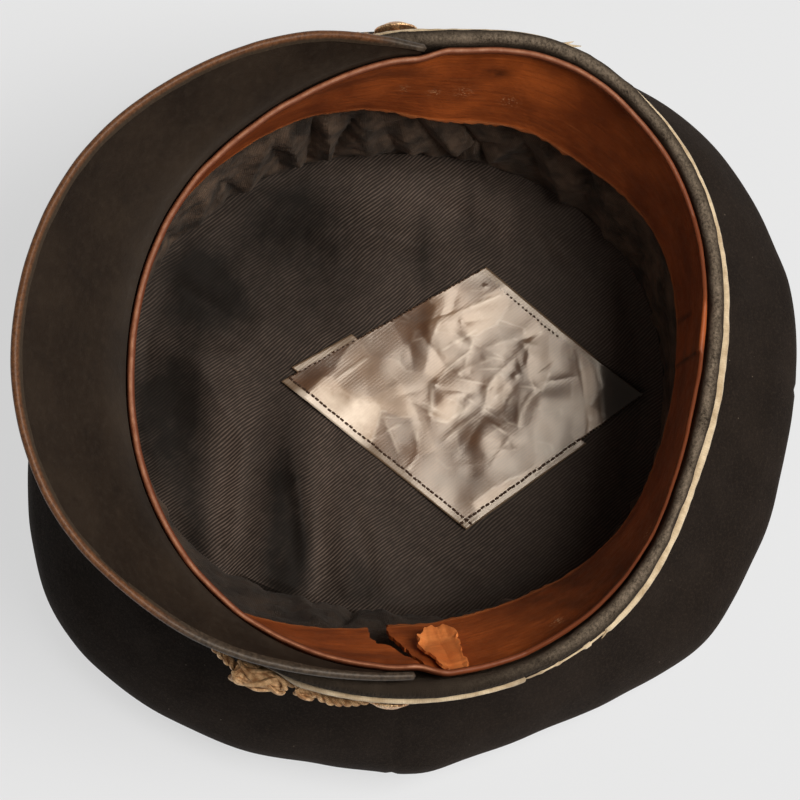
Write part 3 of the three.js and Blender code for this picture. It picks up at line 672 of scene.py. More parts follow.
def binding_leather():
    s = Shader("binding_leather", Roughness=0.5, Specular_IOR_Level=0.4)
    fine = s.noise(1.3, 4, 0.7)
    nose = s.mix(s.map_range(fine, 0.3, 0.72), colour(74, 44, 24), colour(124, 82, 50))
    flange = s.mix(fine, colour(38, 30, 23), colour(76, 64, 51))
    base = s.mix(s.mask("nose"), flange, nose)
    base = s.mix(s.mask("end"), base,
                 s.mix(s.map_range(fine, 0.35, 0.65), colour(48, 40, 33), colour(84, 73, 62)))
    s.set(Base_Color=base, Normal=s.bump(fine, 0.07, s.bump(s.noise(4, 3), 0.2)))
    return s.material


def bullion():
    s = Shader("bullion", Roughness=0.5, Metallic=0.35)
    ribs = s.waves(0, 0.42)
    base = s.mix(s.map_range(s.noise(2.6, 4), 0.38, 0.62), colour(178, 132, 88), colour(246, 208, 160))
    # the gaps between the ribs are painted darker: painted shade between the wire's turns
    base = s.mix(s.map_range(ribs, 0.1, 0.6, 0.4, 0), base, colour(84, 58, 34))
    s.set(Base_Color=base, Normal=s.bump(ribs, 0.12))
    return s.material


def button_metal():
    s = Shader("button_metal", Metallic=0.6, Roughness=0.42)
    worn = s.noise(2.2, 4, 0.6)
    base = s.mix(s.map_range(worn, 0.35, 0.65), colour(250, 186, 128), colour(255, 230, 186))
    pits = s.cells(0.62)
    base = s.mix(s.map_range(pits, 0.35, 0.65, 0, 0.7), base, colour(120, 74, 46))
    s.set(Base_Color=base, Roughness=s.map_range(worn, 0.3, 0.7, 0.28, 0.5), Normal=s.bump(pits, -0.16))
    return s.material


def thread():
    s = Shader("thread", Roughness=0.9)
    s.set(Base_Color=s.mix(s.noise(1.0), colour(36, 24, 17), colour(84, 60, 42)))
    return s.material


# ---- crown -----------------------------------------------------------------------------------

WOOL = wool()
PIPING = piping_cloth()


def crown_side():
    angle = steps_round(400)[:, None]
    profile = rounded([(share * 40, height) for height, share in CROWN_WALL], 52, 2.2)
    share, height = profile[None, :, 0] / 40, profile[None, :, 1]
    points = place(angle, crown_wall_reach(angle, share), height)
    window = smoothstep(height, 10.4, 15) * (1 - smoothstep(height, 58, 63))
    dents = 1.1 * noise(points, 46, 3) + 0.5 * noise(points, 19, 4)
    pulled = place(angle, 100, 0 * height)
    folds = 0.9 * noise(pulled, 9, 5) * smoothstep(height, 36, 56) * (1 - smoothstep(height, 60, 64))
    seams = sum(np.exp(-(away_from(angle, at) / 0.32) ** 2) for at in CROWN_SEAMS)
    beside = sum(np.exp(-((np.abs(away_from(angle, at)) - 1.2) / 0.6) ** 2) for at in CROWN_SEAMS)
    sewn = (0.12 * beside - 0.4 * seams) * window
    points = pushed(points, True, (dents * window + folds * 0.8 + sewn) * outward_sign(points))
    solid = sheet_solid(points, True, CLOTH * outward_sign(points))
    obj = register(solid.build("crown_side_cloth", WOOL), "crown_wool", "crown_side")


def crown_top():
    angle = steps_round(220)[:, None]
    edge = seam_reach(angle)
    rows = rounded([(ratio * 100, height) for ratio, height in CROWN_TOP], 48, 1.6)
    ratio, height = rows[None, :, 0] / 100, rows[None, :, 1]
    flat = place(angle, ratio * edge, 0 * height)
    wrinkle = 0.5 + 0.5 * noise(flat, 26, 11) + 0.2 * noise(flat, 9, 12)
    lift = 0.55 * wrinkle * smoothstep(ratio, 0.05, 0.3) * (1 - smoothstep(ratio, 0.93, 1))
    points = place(angle, ratio * edge, np.maximum(height, 0) + np.clip(lift, 0, 0.6))
    back = place(angle, ratio * edge - 1.3 * smoothstep(ratio, 0.9, 1),
                 np.maximum(height, 0) + np.clip(lift, 0, 0.6) * 0.2 + 1.5)
    solid = Solid()
    uv = np.stack([flat[..., 0], flat[..., 1]], -1)
    solid.wall(points, back, True, np.concatenate([uv, uv[:1]]))
    obj = register(solid.build("crown_top_cloth", WOOL), "crown_wool", "crown_top")


def ring_tube(name, reach_at, height, radius, slot, node, material, swell=0.0, seed=0):
    angle = steps_round(720)
    path = place(angle, reach_at(angle), np.full(angle.shape, height))
    lumps = 1 + swell * noise(path, 7, seed)
    solid = Solid()
    solid.ring_section(tube_points(path, radius * lumps, 10, True), True)
    return register(solid.build(name, material), slot, node)


crown_side()
crown_top()
ring_tube("crown_piping_cord", lambda a: seam_reach(a) + CROWN_PIPING[0] - 0.8,
          CROWN_PIPING[1], CROWN_PIPING[2] * 0.96, "piping_cloth", "crown_piping", PIPING, 0.08, 21)
ring_tube("band_piping_upper_cord", lambda a: wall_reach(a, UPPER_PIPING[1]) + UPPER_PIPING[0] - 0.6,
          UPPER_PIPING[1], UPPER_PIPING[2] * 0.96, "piping_cloth", "band_piping_upper", PIPING, 0.08, 22)

# ---- band and its piping ---------------------------------------------------------------------


def band_slim(angle):
    return 1.2 * hump(angle, 62, 24)


def cap_band():
    angle = steps_round(520)[:, None]
    section = rounded(BAND_SECTION, 60, 0.55, closed=True)
    out, height = section[None, :, 0], section[None, :, 1]
    slim = band_slim(angle) * smoothstep(out, 4, 6.9) * smoothstep(height, 75, 92)
    points = place(angle, wall_reach(angle, height) + out - slim, height)
    roll = smoothstep(height, 100, 103.6)
    side = outward_sign(points)
    lumps = 0.34 * noise(points, 9, 31) + 0.22 * noise(points, 4, 32)
    points = pushed(points, True, side * (lumps * roll))
    rubbed = (0.3 + 0.65 * hump(angle, 92, 95) + 0.3 * hump(angle, 40, 30) + 0.45 * hump(angle, 160, 36)
              - 0.3 * hump(angle, 358, 42))
    worn = smoothstep(out, 1.8, 3.8) * (1 - smoothstep(out, 4.9, 6.4)) * smoothstep(height, 101, 103) * rubbed
    outer = smoothstep(out, 6.0, 6.6)
    # the gathers along the band's outer face, whose grooves are painted dark as shade
    gather = outer * smoothstep(height, 99.2, 100.4) * (1 - smoothstep(height, 103.4, 104.2))
    masks = {"worn": np.broadcast_to(worn + 0 * angle, points.shape[:2]),
             "gather": np.broadcast_to(gather + 0 * angle, points.shape[:2])}
    solid = Solid()
    solid.ring_section(points, True, masks)
    obj = register(solid.build("cap_band_velvet", velvet()), "band_velvet", "cap_band")


def lower_piping():
    """a dark core all round with its pale cover in runs, torn away in two places"""
    out, height, radius = LOWER_PIPING
    out = out - 0.3
    sides = 10

    def run(solid, first, last, size_at, inset=0.0):
        angle = np.arange(first, last, 0.33)
        pressed = 1.7 * smoothstep(angle % 360, 320, 326) * (1 - smoothstep(angle % 360, 336, 341))
        reach = wall_reach(angle, height) + out - inset - band_slim(angle) - pressed
        path = place(angle, reach, np.full(angle.shape, float(height)))
        ends = smoothstep(np.minimum(angle - first, last - angle), 0, 0.9)
        uneven = 1 + 0.07 * noise(path, 6, 41) + 0.05 * noise(path, 2.5, 42)
        size = size_at(angle) * uneven * mix(0.35, 1, ends)
        away = np.stack([np.cos(np.radians(angle)), np.sin(np.radians(angle)), 0 * angle], 1)
        stained = (0.8 * hump(angle % 360, 334, 20) + 0.5 * hump(angle % 360, 20, 6)
                   + 0.4 * hump(angle % 360, 160, 12))
        solid.ring_section(tube_points(path, size, sides, False, away), False,
                           {"worn": np.repeat(stained, sides)})

    def cover(angle):
        broad = hump(angle, 78, 58)
        thin = hump(angle, 150, 28) + 0.55 * hump(angle, 185, 40)
        return radius * (0.94 + 0.4 * broad - 0.42 * thin)

    core = Solid()
    run(core, 0, 360.3, lambda angle: 0.62 + 0 * angle, 0.5)
    register(core.build("band_piping_lower_core", WOOL), "piping_cloth", "band_piping_lower")
    solid = Solid()
    for first, last in ((36, 142.5), (155, 380.3)):
        run(solid, first, last, cover)
    ragged = 0.45 + 0.55 * noise(place(np.arange(0, 900) * 0.33, 97, 0), 2.6, 47)
    run(solid, 379.8, 396.5, lambda angle: radius * np.clip(ragged[:len(angle)], 0.34, 0.72), -0.15)
    # frayed ends of the cover: where it starts, how far it runs, and how far it stands out and up
    for at, long, lift, drop in ((37.5, -2.6, 1.4, -0.6), (39, -2.8, 1.0, -2.2),
                                 (154.6, -2.6, 1.6, 1.2), (155.2, -1.8, 2.2, 0.4)):
        share = np.linspace(0, 1, 14)
        angle = at + long * share
        path = place(angle, wall_reach(angle, height) + out + lift * share ** 1.4,
                     height + drop * share ** 1.3)
        solid.ring_section(tube_points(path, 1.0 * (1 - share) ** 0.7 + 0.12, 8, False, flat=0.5), False)
    register(solid.build("band_piping_lower_cover", PIPING), "piping_cloth", "band_piping_lower")


cap_band()
lower_piping()

# ---- sweatband -------------------------------------------------------------------------------

BAND_LEATHER = leather("sweatband_leather", colour(186, 96, 42), colour(132, 62, 24), colour(196, 120, 68))


def sweatband():
    angle = steps_round(700)[:, None]
    corners = ([(LEATHER, FREE_EDGE), (LEATHER, 101)] + SWEATBAND_ROLL + [(0, 101), (0, FREE_EDGE)])
    section = rounded(corners, 96, 0.3, closed=True)
    out, height = section[None, :, 0], section[None, :, 1]
    ring = place(angle, MEAN_REACH, 0 * height)
    low = 1 - smoothstep(height, FREE_EDGE, FREE_EDGE + 8)
    at_edge = 1 - smoothstep(height, FREE_EDGE, FREE_EDGE + 1.6)
    frayed = (0.5 * noise(ring, 3.2, 52) + 0.55 * noise(ring, 1.5, 53)
              + 1.2 * np.clip(noise(ring, 4.5, 56) - 0.35, 0, 1))
    height = height + low * 0.7 * noise(ring, 24, 51) + at_edge * frayed
    sag = smoothstep(FREE_EDGE + 32 - height, 0, 32)
    buckle = (sag * 0.75 * noise(place(angle, MEAN_REACH, height), 26, 54)
              + 0.12 * noise(place(angle, MEAN_REACH, height), 7, 55))
    inner = out < LEATHER * 0.5
    hem = smoothstep(FREE_EDGE + 2.3 - section[None, :, 1], 0, 0.3)
    overlap = smoothstep(away_from(angle, 93), -0.4, 0.2) * (1 - smoothstep(away_from(angle, 93), 3, 11))
    thin = 0.3 * hump(angle, 88, 80) + 0.3 * hump(angle, 45, 45) + 0.25 * hump(angle, 345, 55)
    slim = 1 - thin * smoothstep(section[None, :, 1], 101, 102.5)
    reach = leather_reach(angle, height) + (out - 0.35) * slim + 0.35 + buckle
    reach = reach - inner * (0.14 * hem + 0.5 * overlap * (1 - 0.6 * hem))
    points = place(angle, reach, height)
    # the roll's band, whose sides are painted darker as shade
    shaded_roll = smoothstep(section[None, :, 1], 102.4, 103.4) + 0 * angle
    bright = np.exp(-((away_from(angle, 98)) / 4.5) ** 4) * smoothstep(section[None, :, 1], 102.5, 104) * 0.8
    marks = [(180.3, 78, 1.0), (173.8, 77, 1.2), (168.3, 79, 1.5), (158.8, 76, 1.4),
             (30, 92, 1.5), (55, 97, 1.5)]
    scuff = sum(np.exp(-(away_from(angle, at) / wide) ** 2 - ((height - level) / 2.2) ** 2)
                for at, level, wide in marks)
    # a stain at 164° and dark lines at the joins by 93° and 102°; the broad darkening round 38° is painted
    # shade
    stain = np.exp(-(away_from(angle, 164) / 3) ** 2 - ((height - 90) / 3) ** 2) + 0.6 * hump(angle, 38, 28)
    stain = stain + sum(np.exp(-(away_from(angle, at) / 0.45) ** 2) * (height < level)
                        for at, level in ((93, 99), (102, 84)))
    stain = np.minimum(stain, 1)
    # a painted highlight along the roll's crest, mostly left off between about 9° and 150°
    crest = smoothstep(section[None, :, 1], 104.9, 105.25)
    plain = smoothstep(away_from(angle, 2), 0, 7) * (1 - smoothstep(angle % 360, 118, 150))
    pale = crest * (1 - 0.92 * plain)
    masks = {
        "pale": pale + 0 * shaded_roll,
        "bright": bright + 0 * shaded_roll,
        "roll": shaded_roll * (1 - 0.2 * plain),
        "hem": np.broadcast_to(hem * inner, shaded_roll.shape),
        "scuff": np.broadcast_to(scuff * inner, shaded_roll.shape),
        "stain": np.broadcast_to(stain * inner, shaded_roll.shape),
    }
    solid = Solid()
    solid.ring_section(points, True, masks)
    obj = solid.build("sweatband_leather", BAND_LEATHER, 60)
    cut_rip(obj)
    register(obj, "sweatband_leather", "sweatband")


def cut_rip(obj):
    """cuts the rip's ragged outline through the leather"""
    outline = np.array(RIP, float)
    closed = np.vstack([outline, outline[:1]])
    line = rounded(closed, 150, 0.25)[:-1]
    spots = np.stack([line[:, 0], line[:, 1], np.zeros(len(line))], 1) * MM
    line = line + np.stack([noise(spots, 1.6, 61), noise(spots, 1.6, 62)], 1) * 0.35
    near, far = RIP_REACH
    rows = [np.stack([np.full(len(line), depth) - AXIS[0], line[:, 0] - AXIS[1], line[:, 1]], 1) * MM
            for depth in (near, far)]
    count = len(line)
    points = np.concatenate(rows)
    sides = [(i, (i + 1) % count, (i + 1) % count + count, i + count) for i in range(count)]
    mesh = bpy.data.meshes.new("rip")
    mesh.from_pydata(points.tolist(), [], sides + [tuple(range(count))[::-1], tuple(range(count, 2 * count))])
    cutter = bpy.data.objects.new("rip", mesh)
    bpy.context.scene.collection.objects.link(cutter)
    shell = bmesh.new()
    shell.from_mesh(mesh)
    bmesh.ops.recalc_face_normals(shell, faces=shell.faces)
    shell.to_mesh(mesh)
    shell.free()
    modifier = obj.modifiers.new("rip", "BOOLEAN")
    modifier.operation, modifier.object, modifier.solver = "DIFFERENCE", cutter, "EXACT"
    depsgraph = bpy.context.evaluated_depsgraph_get()
    cut = bpy.data.meshes.new_from_object(obj.evaluated_get(depsgraph))
    obj.modifiers.clear()
    obj.data = cut
    bpy.data.objects.remove(cutter)


def sweatband_flap():
    """a torn strip hanging from the roll, wider towards its free end"""
    across = np.linspace(0, 1, 72)[:, None]
    down = np.linspace(0, 1, 60)[None, :]
    low, high = through([6.2, 5.0, 3.4, 2.4, 2.8], down * 4), through([9.9, 10.4, 10.6, 10.9, 10.7], down * 4)
    at = mix(low, high, across)
    foot = through([80, 74.5, 73, 74, 72.5, 77], across * 5)
    line = place(at, MEAN_REACH, 0 * at)
    height = mix(102.8, foot + (0.9 * noise(line, 2.4, 71) + 0.5 * noise(line, 0.9, 72)) * down, down)
    edge = smoothstep(np.abs(across - 0.5), 0.36, 0.5) * np.sign(across - 0.5)
    beside = place(90, MEAN_REACH, height)
    ragged = 0.3 * noise(beside, 2.4, 73) + 0.1 * noise(beside, 0.8, 75)
    at = at + ragged * edge
    lift = mix(1.2, 1.8, smoothstep(height, 95, 100)) * mix(0.1, 1, smoothstep(down, 0, 0.16))
    curl = (1.5 * smoothstep(down, 0.7, 1) + 0.6 * smoothstep(0.25 - across, 0, 0.25)
            + 0.4 * smoothstep(across, 0.8, 1))
    ripple = 0.5 * noise(place(at, MEAN_REACH, height), 7, 74)
    points = place(at, leather_reach(at, height) - lift - 0.15 - curl - np.abs(ripple), height)
    # the flap's leather is painted much lighter than the sweatband's: painted light against the shade it
    # hangs in
    lightened_leather = leather("torn_leather", colour(255, 166, 96), colour(230, 126, 62), colour(240, 160, 104))
    normal = normals_of(points, False)
    inward = -(points - np.array([0, 0, points[..., 2].mean()]))
    sign = 1.0 if (normal * inward).sum() > 0 else -1.0
    obj = sheet_solid(points, False, 0.95 * sign).build("sweatband_torn_flap", lightened_leather)
    register(obj, "sweatband_leather", "sweatband_flap")


sweatband()
sweatband_flap()

# ---- lining ----------------------------------------------------------------------------------

# creases of the side lining: angle, its half width in degrees, depth, from height, to height, skew
SIDE_CREASES = [
    (212, 2.4, 2.4, 10, 50, -8), (206, 1.2, -2.0, 10, 48, 4), (202, 2.0, 2.6, 10, 50, 4),
    (197.5, 0.8, -3.4, 8, 56, -1), (194, 1.8, 2.8, 10, 54, 2), (190.5, 0.9, -3.0, 9, 52, -5),
    (185, 3.2, 3.0, 12, 52, 5), (180, 1.0, -1.4, 10, 40, 8), (176, 2.4, 2.4, 10, 46, 8),
    (171, 0.9, -2.4, 10, 50, 14), (167, 2.2, 2.8, 12, 50, 14), (161.5, 0.8, -3.4, 9, 54, 16),
    (158.5, 0.8, -3.0, 9, 40, -16), (155, 2.8, 2.6, 12, 50, -8), (149, 1.2, -2.4, 10, 50, 12),
    (143, 3.0, 2.8, 10, 52, 16), (136, 1.2, -2.2, 12, 50, 6), (129, 3.2, 2.4, 10, 52, 10),
    (118, 1.6, -2.0, 12, 50, -6), (108, 3, 2.0, 10, 50, 5), (219, 1.2, -2.2, 12, 46, 8),
    (227, 3.0, 2.2, 12, 50, -5), (236, 1.4, -1.8, 10, 50, 5), (340, 3.4, 2.4, 10, 50, 8),
    (350, 1.4, -2.0, 10, 46, -6), (0, 3.2, 2.2, 12, 48, 6), (14, 1.4, -2.0, 10, 48, -4),
    (30, 3.4, 2.0, 12, 50, 6), (48, 1.6, -1.8, 12, 48, -5), (66, 3, 1.8, 12, 48, 4),
    (300, 3, 1.8, 12, 48, 4), (268, 3.2, -1.6, 12, 48, 6),
]


# ridges of the twill beside its folds: middle, half sizes, turn of the long side from +X, rise
TWILL_RIDGES = [
    (34, -48, 24, 3.5, -6, 1.6), (46, -26, 26, 3.2, 4, 1.8), (58, -4, 18, 3, 14, 1.4),
    (30, -28, 22, 3.4, 10, 1.3), (-30, -58, 26, 4, 60, 1.4), (-52, 10, 20, 3.4, 74, 1.6),
    (-62, 36, 18, 3, 60, 1.8), (-54, 58, 18, 3, 40, 1.6), (-14, -62, 20, 3.6, 84, 1.2),
    (58, 30, 16, 3.4, 60, 1.2), (4, -52, 20, 4, 30, 1.0),
]


# light and shade painted on the twill, darker in shaded folds, lighter on lit folds and in the walls' shadow:
# middle, half sizes and amount
TWILL_SHADING = [
    (-38, -62, 15, 13, -1.0), (10, -76, 24, 8, -0.9), (-60, -28, 16, 20, -0.85), (64, 12, 10, 22, 0.1),
    (46, 62, 24, 20, 0.7), (-24, 86, 50, 14, 1.3), (-58, 60, 14, 16, 0.3), (-68, 24, 11, 24, 0.75),
    (-34, -30, 12, 30, -0.3), (-64, 30, 12, 2.5, -0.4), (-62, 42, 14, 3, 0.45), (-52, 14, 14, 3.5, -0.5),
    (-30, -52, 10, 10, -0.4), (0, -66, 16, 8, -0.6), (34, -50, 27, 6, 0.75), (38, -54, 14, 3, 0.3),
    (38, -32.5, 27, 6, -1.1), (58, -33, 10, 8, -0.7), (28, -19, 24, 4.5, 0.6), (54, -21, 12, 3, 0.6),
    (40, -8, 20, 8, 0.1), (48, -26, 10, 5, -0.5), (22, -64, 30, 6, -0.6), (64, -6, 7, 9, -0.6),
    (50, -60, 12, 4, -0.5),
]


def lining_side():
    angle = steps_round(520)[:, None]
    rows = rounded([(share * 60, height) for height, share in LINING_SIDE], 64, 2)
    share, height = rows[None, :, 0] / 60, rows[None, :, 1]
    reach = mix(wall_reach(angle, height) + LINING_TUCK, lining_reach(angle), share) - 0.95
    points = place(angle, reach, height - 0.8 * smoothstep(share, 0.9, 1))
    inward = -outward_sign(points)
    window = smoothstep(height, 9, 15) * (1 - smoothstep(height, 54, 62))
    push = 0
    for at, wide, deep, low, high, skew in SIDE_CREASES:
        away = np.abs(away_from(angle, at + skew * (height - 30) / 40)) / wide
        part = smoothstep(height, low, low + 9) * (1 - smoothstep(height, high - 12, high))
        push = push + deep * part * np.exp(-away ** 1.3)
    foot = (1 - smoothstep(height, 13, 30)) * smoothstep(height, 8.4, 10.5)
    gathers = (0.9 * np.abs(noise(place(angle, 70, 0.25 * height), 6.5, 81))
               + 0.3 * noise(place(angle, 70, 0 * height), 3, 84)) * foot
    soft = (0.8 * noise(points, 22, 82) + 0.9 * np.abs(noise(points, 9, 83))
            + 0.5 * np.abs(noise(points, 4.5, 85)))
    push = np.clip(push * window + soft * window, -2.0, 4.6) + gathers
    points = pushed(points, True, inward * push)
    # painted shade on the side lining round 342°
    greasy = smoothstep(hump(angle, 342, 62), 0.1, 0.7) + 0 * height
    solid = sheet_solid(points, True, LINING_CLOTH * 0.8 * inward, {"greasy": greasy})
    obj = register(solid.build("lining_side_cloth", side_lining_cloth()), "lining_side_cloth", "lining_side")


def ridges(x, y, rows, along_power, across_power):
    """long swells, each with its middle, half sizes, turn of its long side from +X and rise"""
    total = 0
    for cx, cy, long, wide, turn, rise in rows:
        c, s = math.cos(math.radians(turn)), math.sin(math.radians(turn))
        along = ((x - cx) * c + (y - cy) * s) / long
        across = ((y - cy) * c - (x - cx) * s) / wide
        total = total + rise * np.exp(-along ** along_power - np.abs(across) ** across_power)
    return total


def lining_top_reach(angle):
    return lining_reach(angle) - LINING_SEAM_IN


def lining_level(x, y):
    """height of the lining's upper face, on the twill as it lies"""
    angle, reach = np.degrees(np.arctan2(y, x)), np.hypot(x, y)
    ratio = reach / lining_top_reach(angle)
    rows = np.array(LINING_TOP[::-1], float)
    level = np.interp(ratio, rows[:, 0], rows[:, 1])
    flat = np.stack([x, y, 0 * x], -1) * MM
    inside = 1 - smoothstep(ratio, 0.86, 0.99)
    soft = (0.45 * noise(flat, 30, 91) + 0.25 * noise(flat, 12, 92)
            + 0.12 * noise(flat, 5, 93) + 0.45) * inside
    folds = ridges(x, y, LINING_FOLDS, 2, 2) * (1 - smoothstep(ratio, 0.97, 1))
    return level + folds + LINING_CLOTH + soft + ridges(x, y, TWILL_RIDGES, 4, 1.5) * inside


# the twill's lines are turned this far off the back of the cap, towards the wearer's left
TWILL_TURN = 39


def twill_uv(x, y):
    """along and across the twill's lines"""
    c, s = math.cos(math.radians(TWILL_TURN)), math.sin(math.radians(TWILL_TURN))
    return np.stack([y * c - x * s, y * s + x * c], -1) * MM


def lining_top():
    angle = steps_round(264)[:, None]
    ratio = np.linspace(1, 0, 84)[None, :] ** 0.9
    reach = ratio * (lining_top_reach(angle) + 0.4)
    x, y = reach * np.cos(np.radians(angle)), reach * np.sin(np.radians(angle))
    height = lining_level(x, y)
    points = place(angle, reach, height)
    back = place(angle, reach, height - 0.75)
    uv = twill_uv(x, y)
    # light and shade painted on the twill, from the table above
    tone = sum(size * np.exp(-((x - cx) / wide) ** 2 - ((y - cy) / long) ** 2)
               for cx, cy, wide, long, size in TWILL_SHADING)
    # where the walls' shadow falls the twill is painted lighter and its lines are hidden
    in_shadow = (0.6 * smoothstep(y, 28, 56)
             + 0.5 * smoothstep(x, 50, 62) * smoothstep(y, -8, 6) * (1 - smoothstep(y, 28, 56)))
    masks = {"tone": np.clip(tone - 0.15 + 0.6 * in_shadow, -1, 1), "crisp": 1 - in_shadow}
    solid = Solid()
    solid.wall(points, back, True, np.concatenate([uv, uv[:1]]), masks)
    obj = register(solid.build("lining_top_twill", lining_twill()), "lining_top_twill", "lining_top")


lining_side()
lining_top()

# ---- sweat shield ----------------------------------------------------------------------------

# the crumpled film's facets: middle in millimetres from the nest's axis, rise per millimetre
# towards the cap's back and towards the wearer's right, and how milky the film is there, with painted glare
SHIELD_FACETS = [
    (-9, -27, 0.06, 0.12, 0.0), (-14, -19, 0.05, 0.14, 0.0), (-8, -10, -0.06, 0.0, 0.5),
    (-7, 1, -0.02, -0.02, 0.4), (-19, 3, 0.02, 0.02, 0.25), (1, -17, -0.13, -0.07, 0.95),
    (8, -5, -0.13, -0.07, 1.0), (1, 5, -0.09, -0.05, 0.75), (-3, 13, -0.05, -0.03, 0.45),
    (-23, 10, 0.2, 0.1, 0.0), (-29, 13, 0.12, 0.08, 0.1), (-15, 13, 0.1, 0.05, 0.15),
    (-26, 22, -0.08, -0.07, 0.55), (-18, 22, -0.06, -0.02, 0.45), (-13, 19, -0.1, -0.06, 0.7),
    (-27, 34, -0.12, -0.07, 0.8), (-32, 40, -0.12, -0.08, 0.8), (-29, 45, -0.04, -0.04, 0.5),
    (-22, 43, 0.08, 0.06, 0.15), (-20, 38, 0.05, 0.04, 0.25), (-35, 22, -0.1, -0.04, 0.5),
    (-38, 31, 0.0, 0.02, 0.25), (-41, 36, 0.03, 0.06, 0.1), (-20, 53, -0.12, -0.06, 0.75),
    (-11, 52, -0.13, -0.08, 0.75), (-13, 46, 0.18, 0.06, 0.0), (-8, 45, 0.16, 0.05, 0.05),
    (-19, 60, -0.02, 0.02, 0.3), (-7, 61, 0.03, 0.08, 0.12), (6, 58, 0.04, 0.08, 0.08),
    (16, 57, 0.04, 0.07, 0.1), (1, 45, 0.14, 0.1, 0.0), (-4, 40, -0.12, -0.08, 0.8),
    (0, 37.5, -0.1, -0.06, 0.6), (-6, 34, 0.04, 0.09, 0.15), (1, 32, 0.03, 0.06, 0.2),
    (-12, 36, 0.05, 0.08, 0.12), (-15, 30, 0.02, 0.05, 0.25), (-8, 25, 0.0, 0.03, 0.3),
    (3, 22, -0.13, -0.08, 0.85), (-3, 23, -0.05, -0.02, 0.5), (-3, 28, 0.02, 0.04, 0.3),
    (-1, 17, 0.06, 0.0, 0.15), (8, 28, 0.03, 0.07, 0.12), (6, 36, 0.04, 0.08, 0.08),
    (11, 19, 0.02, 0.04, 0.2), (13, 14, -0.05, -0.02, 0.5), (14, 9, 0.05, 0.07, 0.1),
    (10, 2, 0.05, 0.08, 0.08), (24, 17, 0.04, 0.06, 0.12), (24, 30, 0.06, 0.09, 0.06),
    (14, 41, -0.06, -0.02, 0.3), (31, 26, 0.0, 0.04, 0.2), (26.5, 49.5, -0.13, -0.08, 0.95),
    (30.7, 41.8, -0.13, -0.08, 1.0), (34.7, 34.5, -0.13, -0.08, 0.9), (30.5, 32, 0.03, 0.06, 0.15),
    (26, 39, 0.05, 0.07, 0.1), (22, 47, 0.04, 0.07, 0.12), (38, 29, 0.02, 0.02, 0.3),
    (-6, 69, -0.05, -0.05, 0.5), (9, 72, -0.07, -0.05, 0.6), (-17, 69, 0.08, 0.05, 0.2),
    (0, 78, 0.25, 0.05, 0.0), (-9, 80, 0.25, 0.05, 0.0), (10, 78, 0.25, 0.1, 0.0),
    (22, 62, 0.03, 0.05, 0.1),
]
# pinched points: middle, half size and depth
SHIELD_PINCHES = [
    (-26, 27, 0.9, 0.3), (-18, 40, 0.8, -0.25), (-8, 45, 1.1, 0.45), (-4.5, 18, 1.2, 0.5),
    (-0.5, 28, 0.9, -0.3), (-9, 26, 0.8, 0.3), (5, 17, 0.9, -0.3), (-38, 35, 0.7, 0.25),
    (-9, 30, 0.7, -0.2), (-14, 35, 0.7, 0.25),
]
# sharp ridges of the crumpled film: corners in millimetres from the nest's axis
SHIELD_RIDGES = [
    [(-6, 43), (2, 36)], [(-18, 50), (-13, 49), (-5, 51)], [(-4, 52), (4, 47), (9, 46)],
    [(-4, 17), (-11, 23), (-16, 30), (-20, 31)], [(-4, 17), (7, 17), (8, 22)], [(15, -5), (9, 6), (7, 17)],
    [(11, 12), (19, 12), (25, 8)], [(13, 43), (22, 37)], [(-20, 70), (-5, 74), (13, 75)],
    [(-19, 66), (7, 70), (17, 70)], [(-27, 20), (-32, 33), (-35, 40)], [(-18, 48), (-25, 57)],
    [(-13, 58), (-9, 51)], [(-18, 16), (-30, 21)], [(-6, -15), (-13, -5)], [(8, 22), (2, 30)],
    [(-23, 32), (-16, 20)],
]
SHIELD_MARGIN = 0.036
SHIELD_STRIP = 0.034
STRIP_SPAN = (0.08, 0.37)
TORN_FROM = 0.66
STITCH_PITCH = 1.8
SHIELD_SIDE = 78
FILM_STEPS = 176
FILM_THICKNESS = 0.2


def blurred(grid, times):
    for _ in range(times):
        padded = np.pad(grid, 1, mode="edge")
        grid = (padded[1:-1, 1:-1] * 2 + padded[:-2, 1:-1] + padded[2:, 1:-1]
                + padded[1:-1, :-2] + padded[1:-1, 2:]) / 6
    return grid


def from_steps(down, across, hold):
    """heights whose steps come closest to the given ones; `hold` keeps wide swells low"""
    rows, columns = down.shape[0] + 1, down.shape[1]
    change = np.zeros((rows, columns))
    change[:-1] += down
    change[1:] -= down
    change[:, :-1] += across
    change[:, 1:] -= across
    folded = np.concatenate([change, change[::-1]])
    folded = np.concatenate([folded, folded[:, ::-1]], 1)
    a = 2 * np.cos(np.pi * np.arange(2 * rows) / rows) - 2
    b = 2 * np.cos(np.pi * np.arange(2 * columns) / columns) - 2
    return np.fft.ifft2(np.fft.fft2(folded) / (a[:, None] + b[None, :] - hold)).real[:rows, :columns]


def facet_values(x, y, size, seed):
    """each facet's values over its own area; areas are parted by straight lines, a little ragged"""
    rows = np.array(SHIELD_FACETS)
    flat = np.stack([x, y, 0 * x], -1) * MM
    px, py = x + 0.35 * noise(flat, size, seed), y + 0.35 * noise(flat, size, seed + 1)
    nearest = ((px[..., None] - rows[:, 0]) ** 2 + (py[..., None] - rows[:, 1]) ** 2).argmin(-1)
    return rows[nearest, 2:]


def small_facets(x, y, count, size, seed):
    """tilts of small random facets within the large ones"""
    random = np.random.default_rng(seed)
    middle = random.uniform((-46, -34), (45, 90), (count, 2))
    tilt = random.uniform(-size, size, (count, 2))
    nearest = ((x[..., None] - middle[:, 0]) ** 2 + (y[..., None] - middle[:, 1]) ** 2).argmin(-1)
    return tilt[nearest]


def shield_spot(u, v):
    left, near, back, far = (np.array(corner, float) for corner in SHIELD_CORNERS)
    u, v = np.asarray(u, float)[..., None], np.asarray(v, float)[..., None]
    return mix(mix(left, near, u), mix(far, back, u), v)


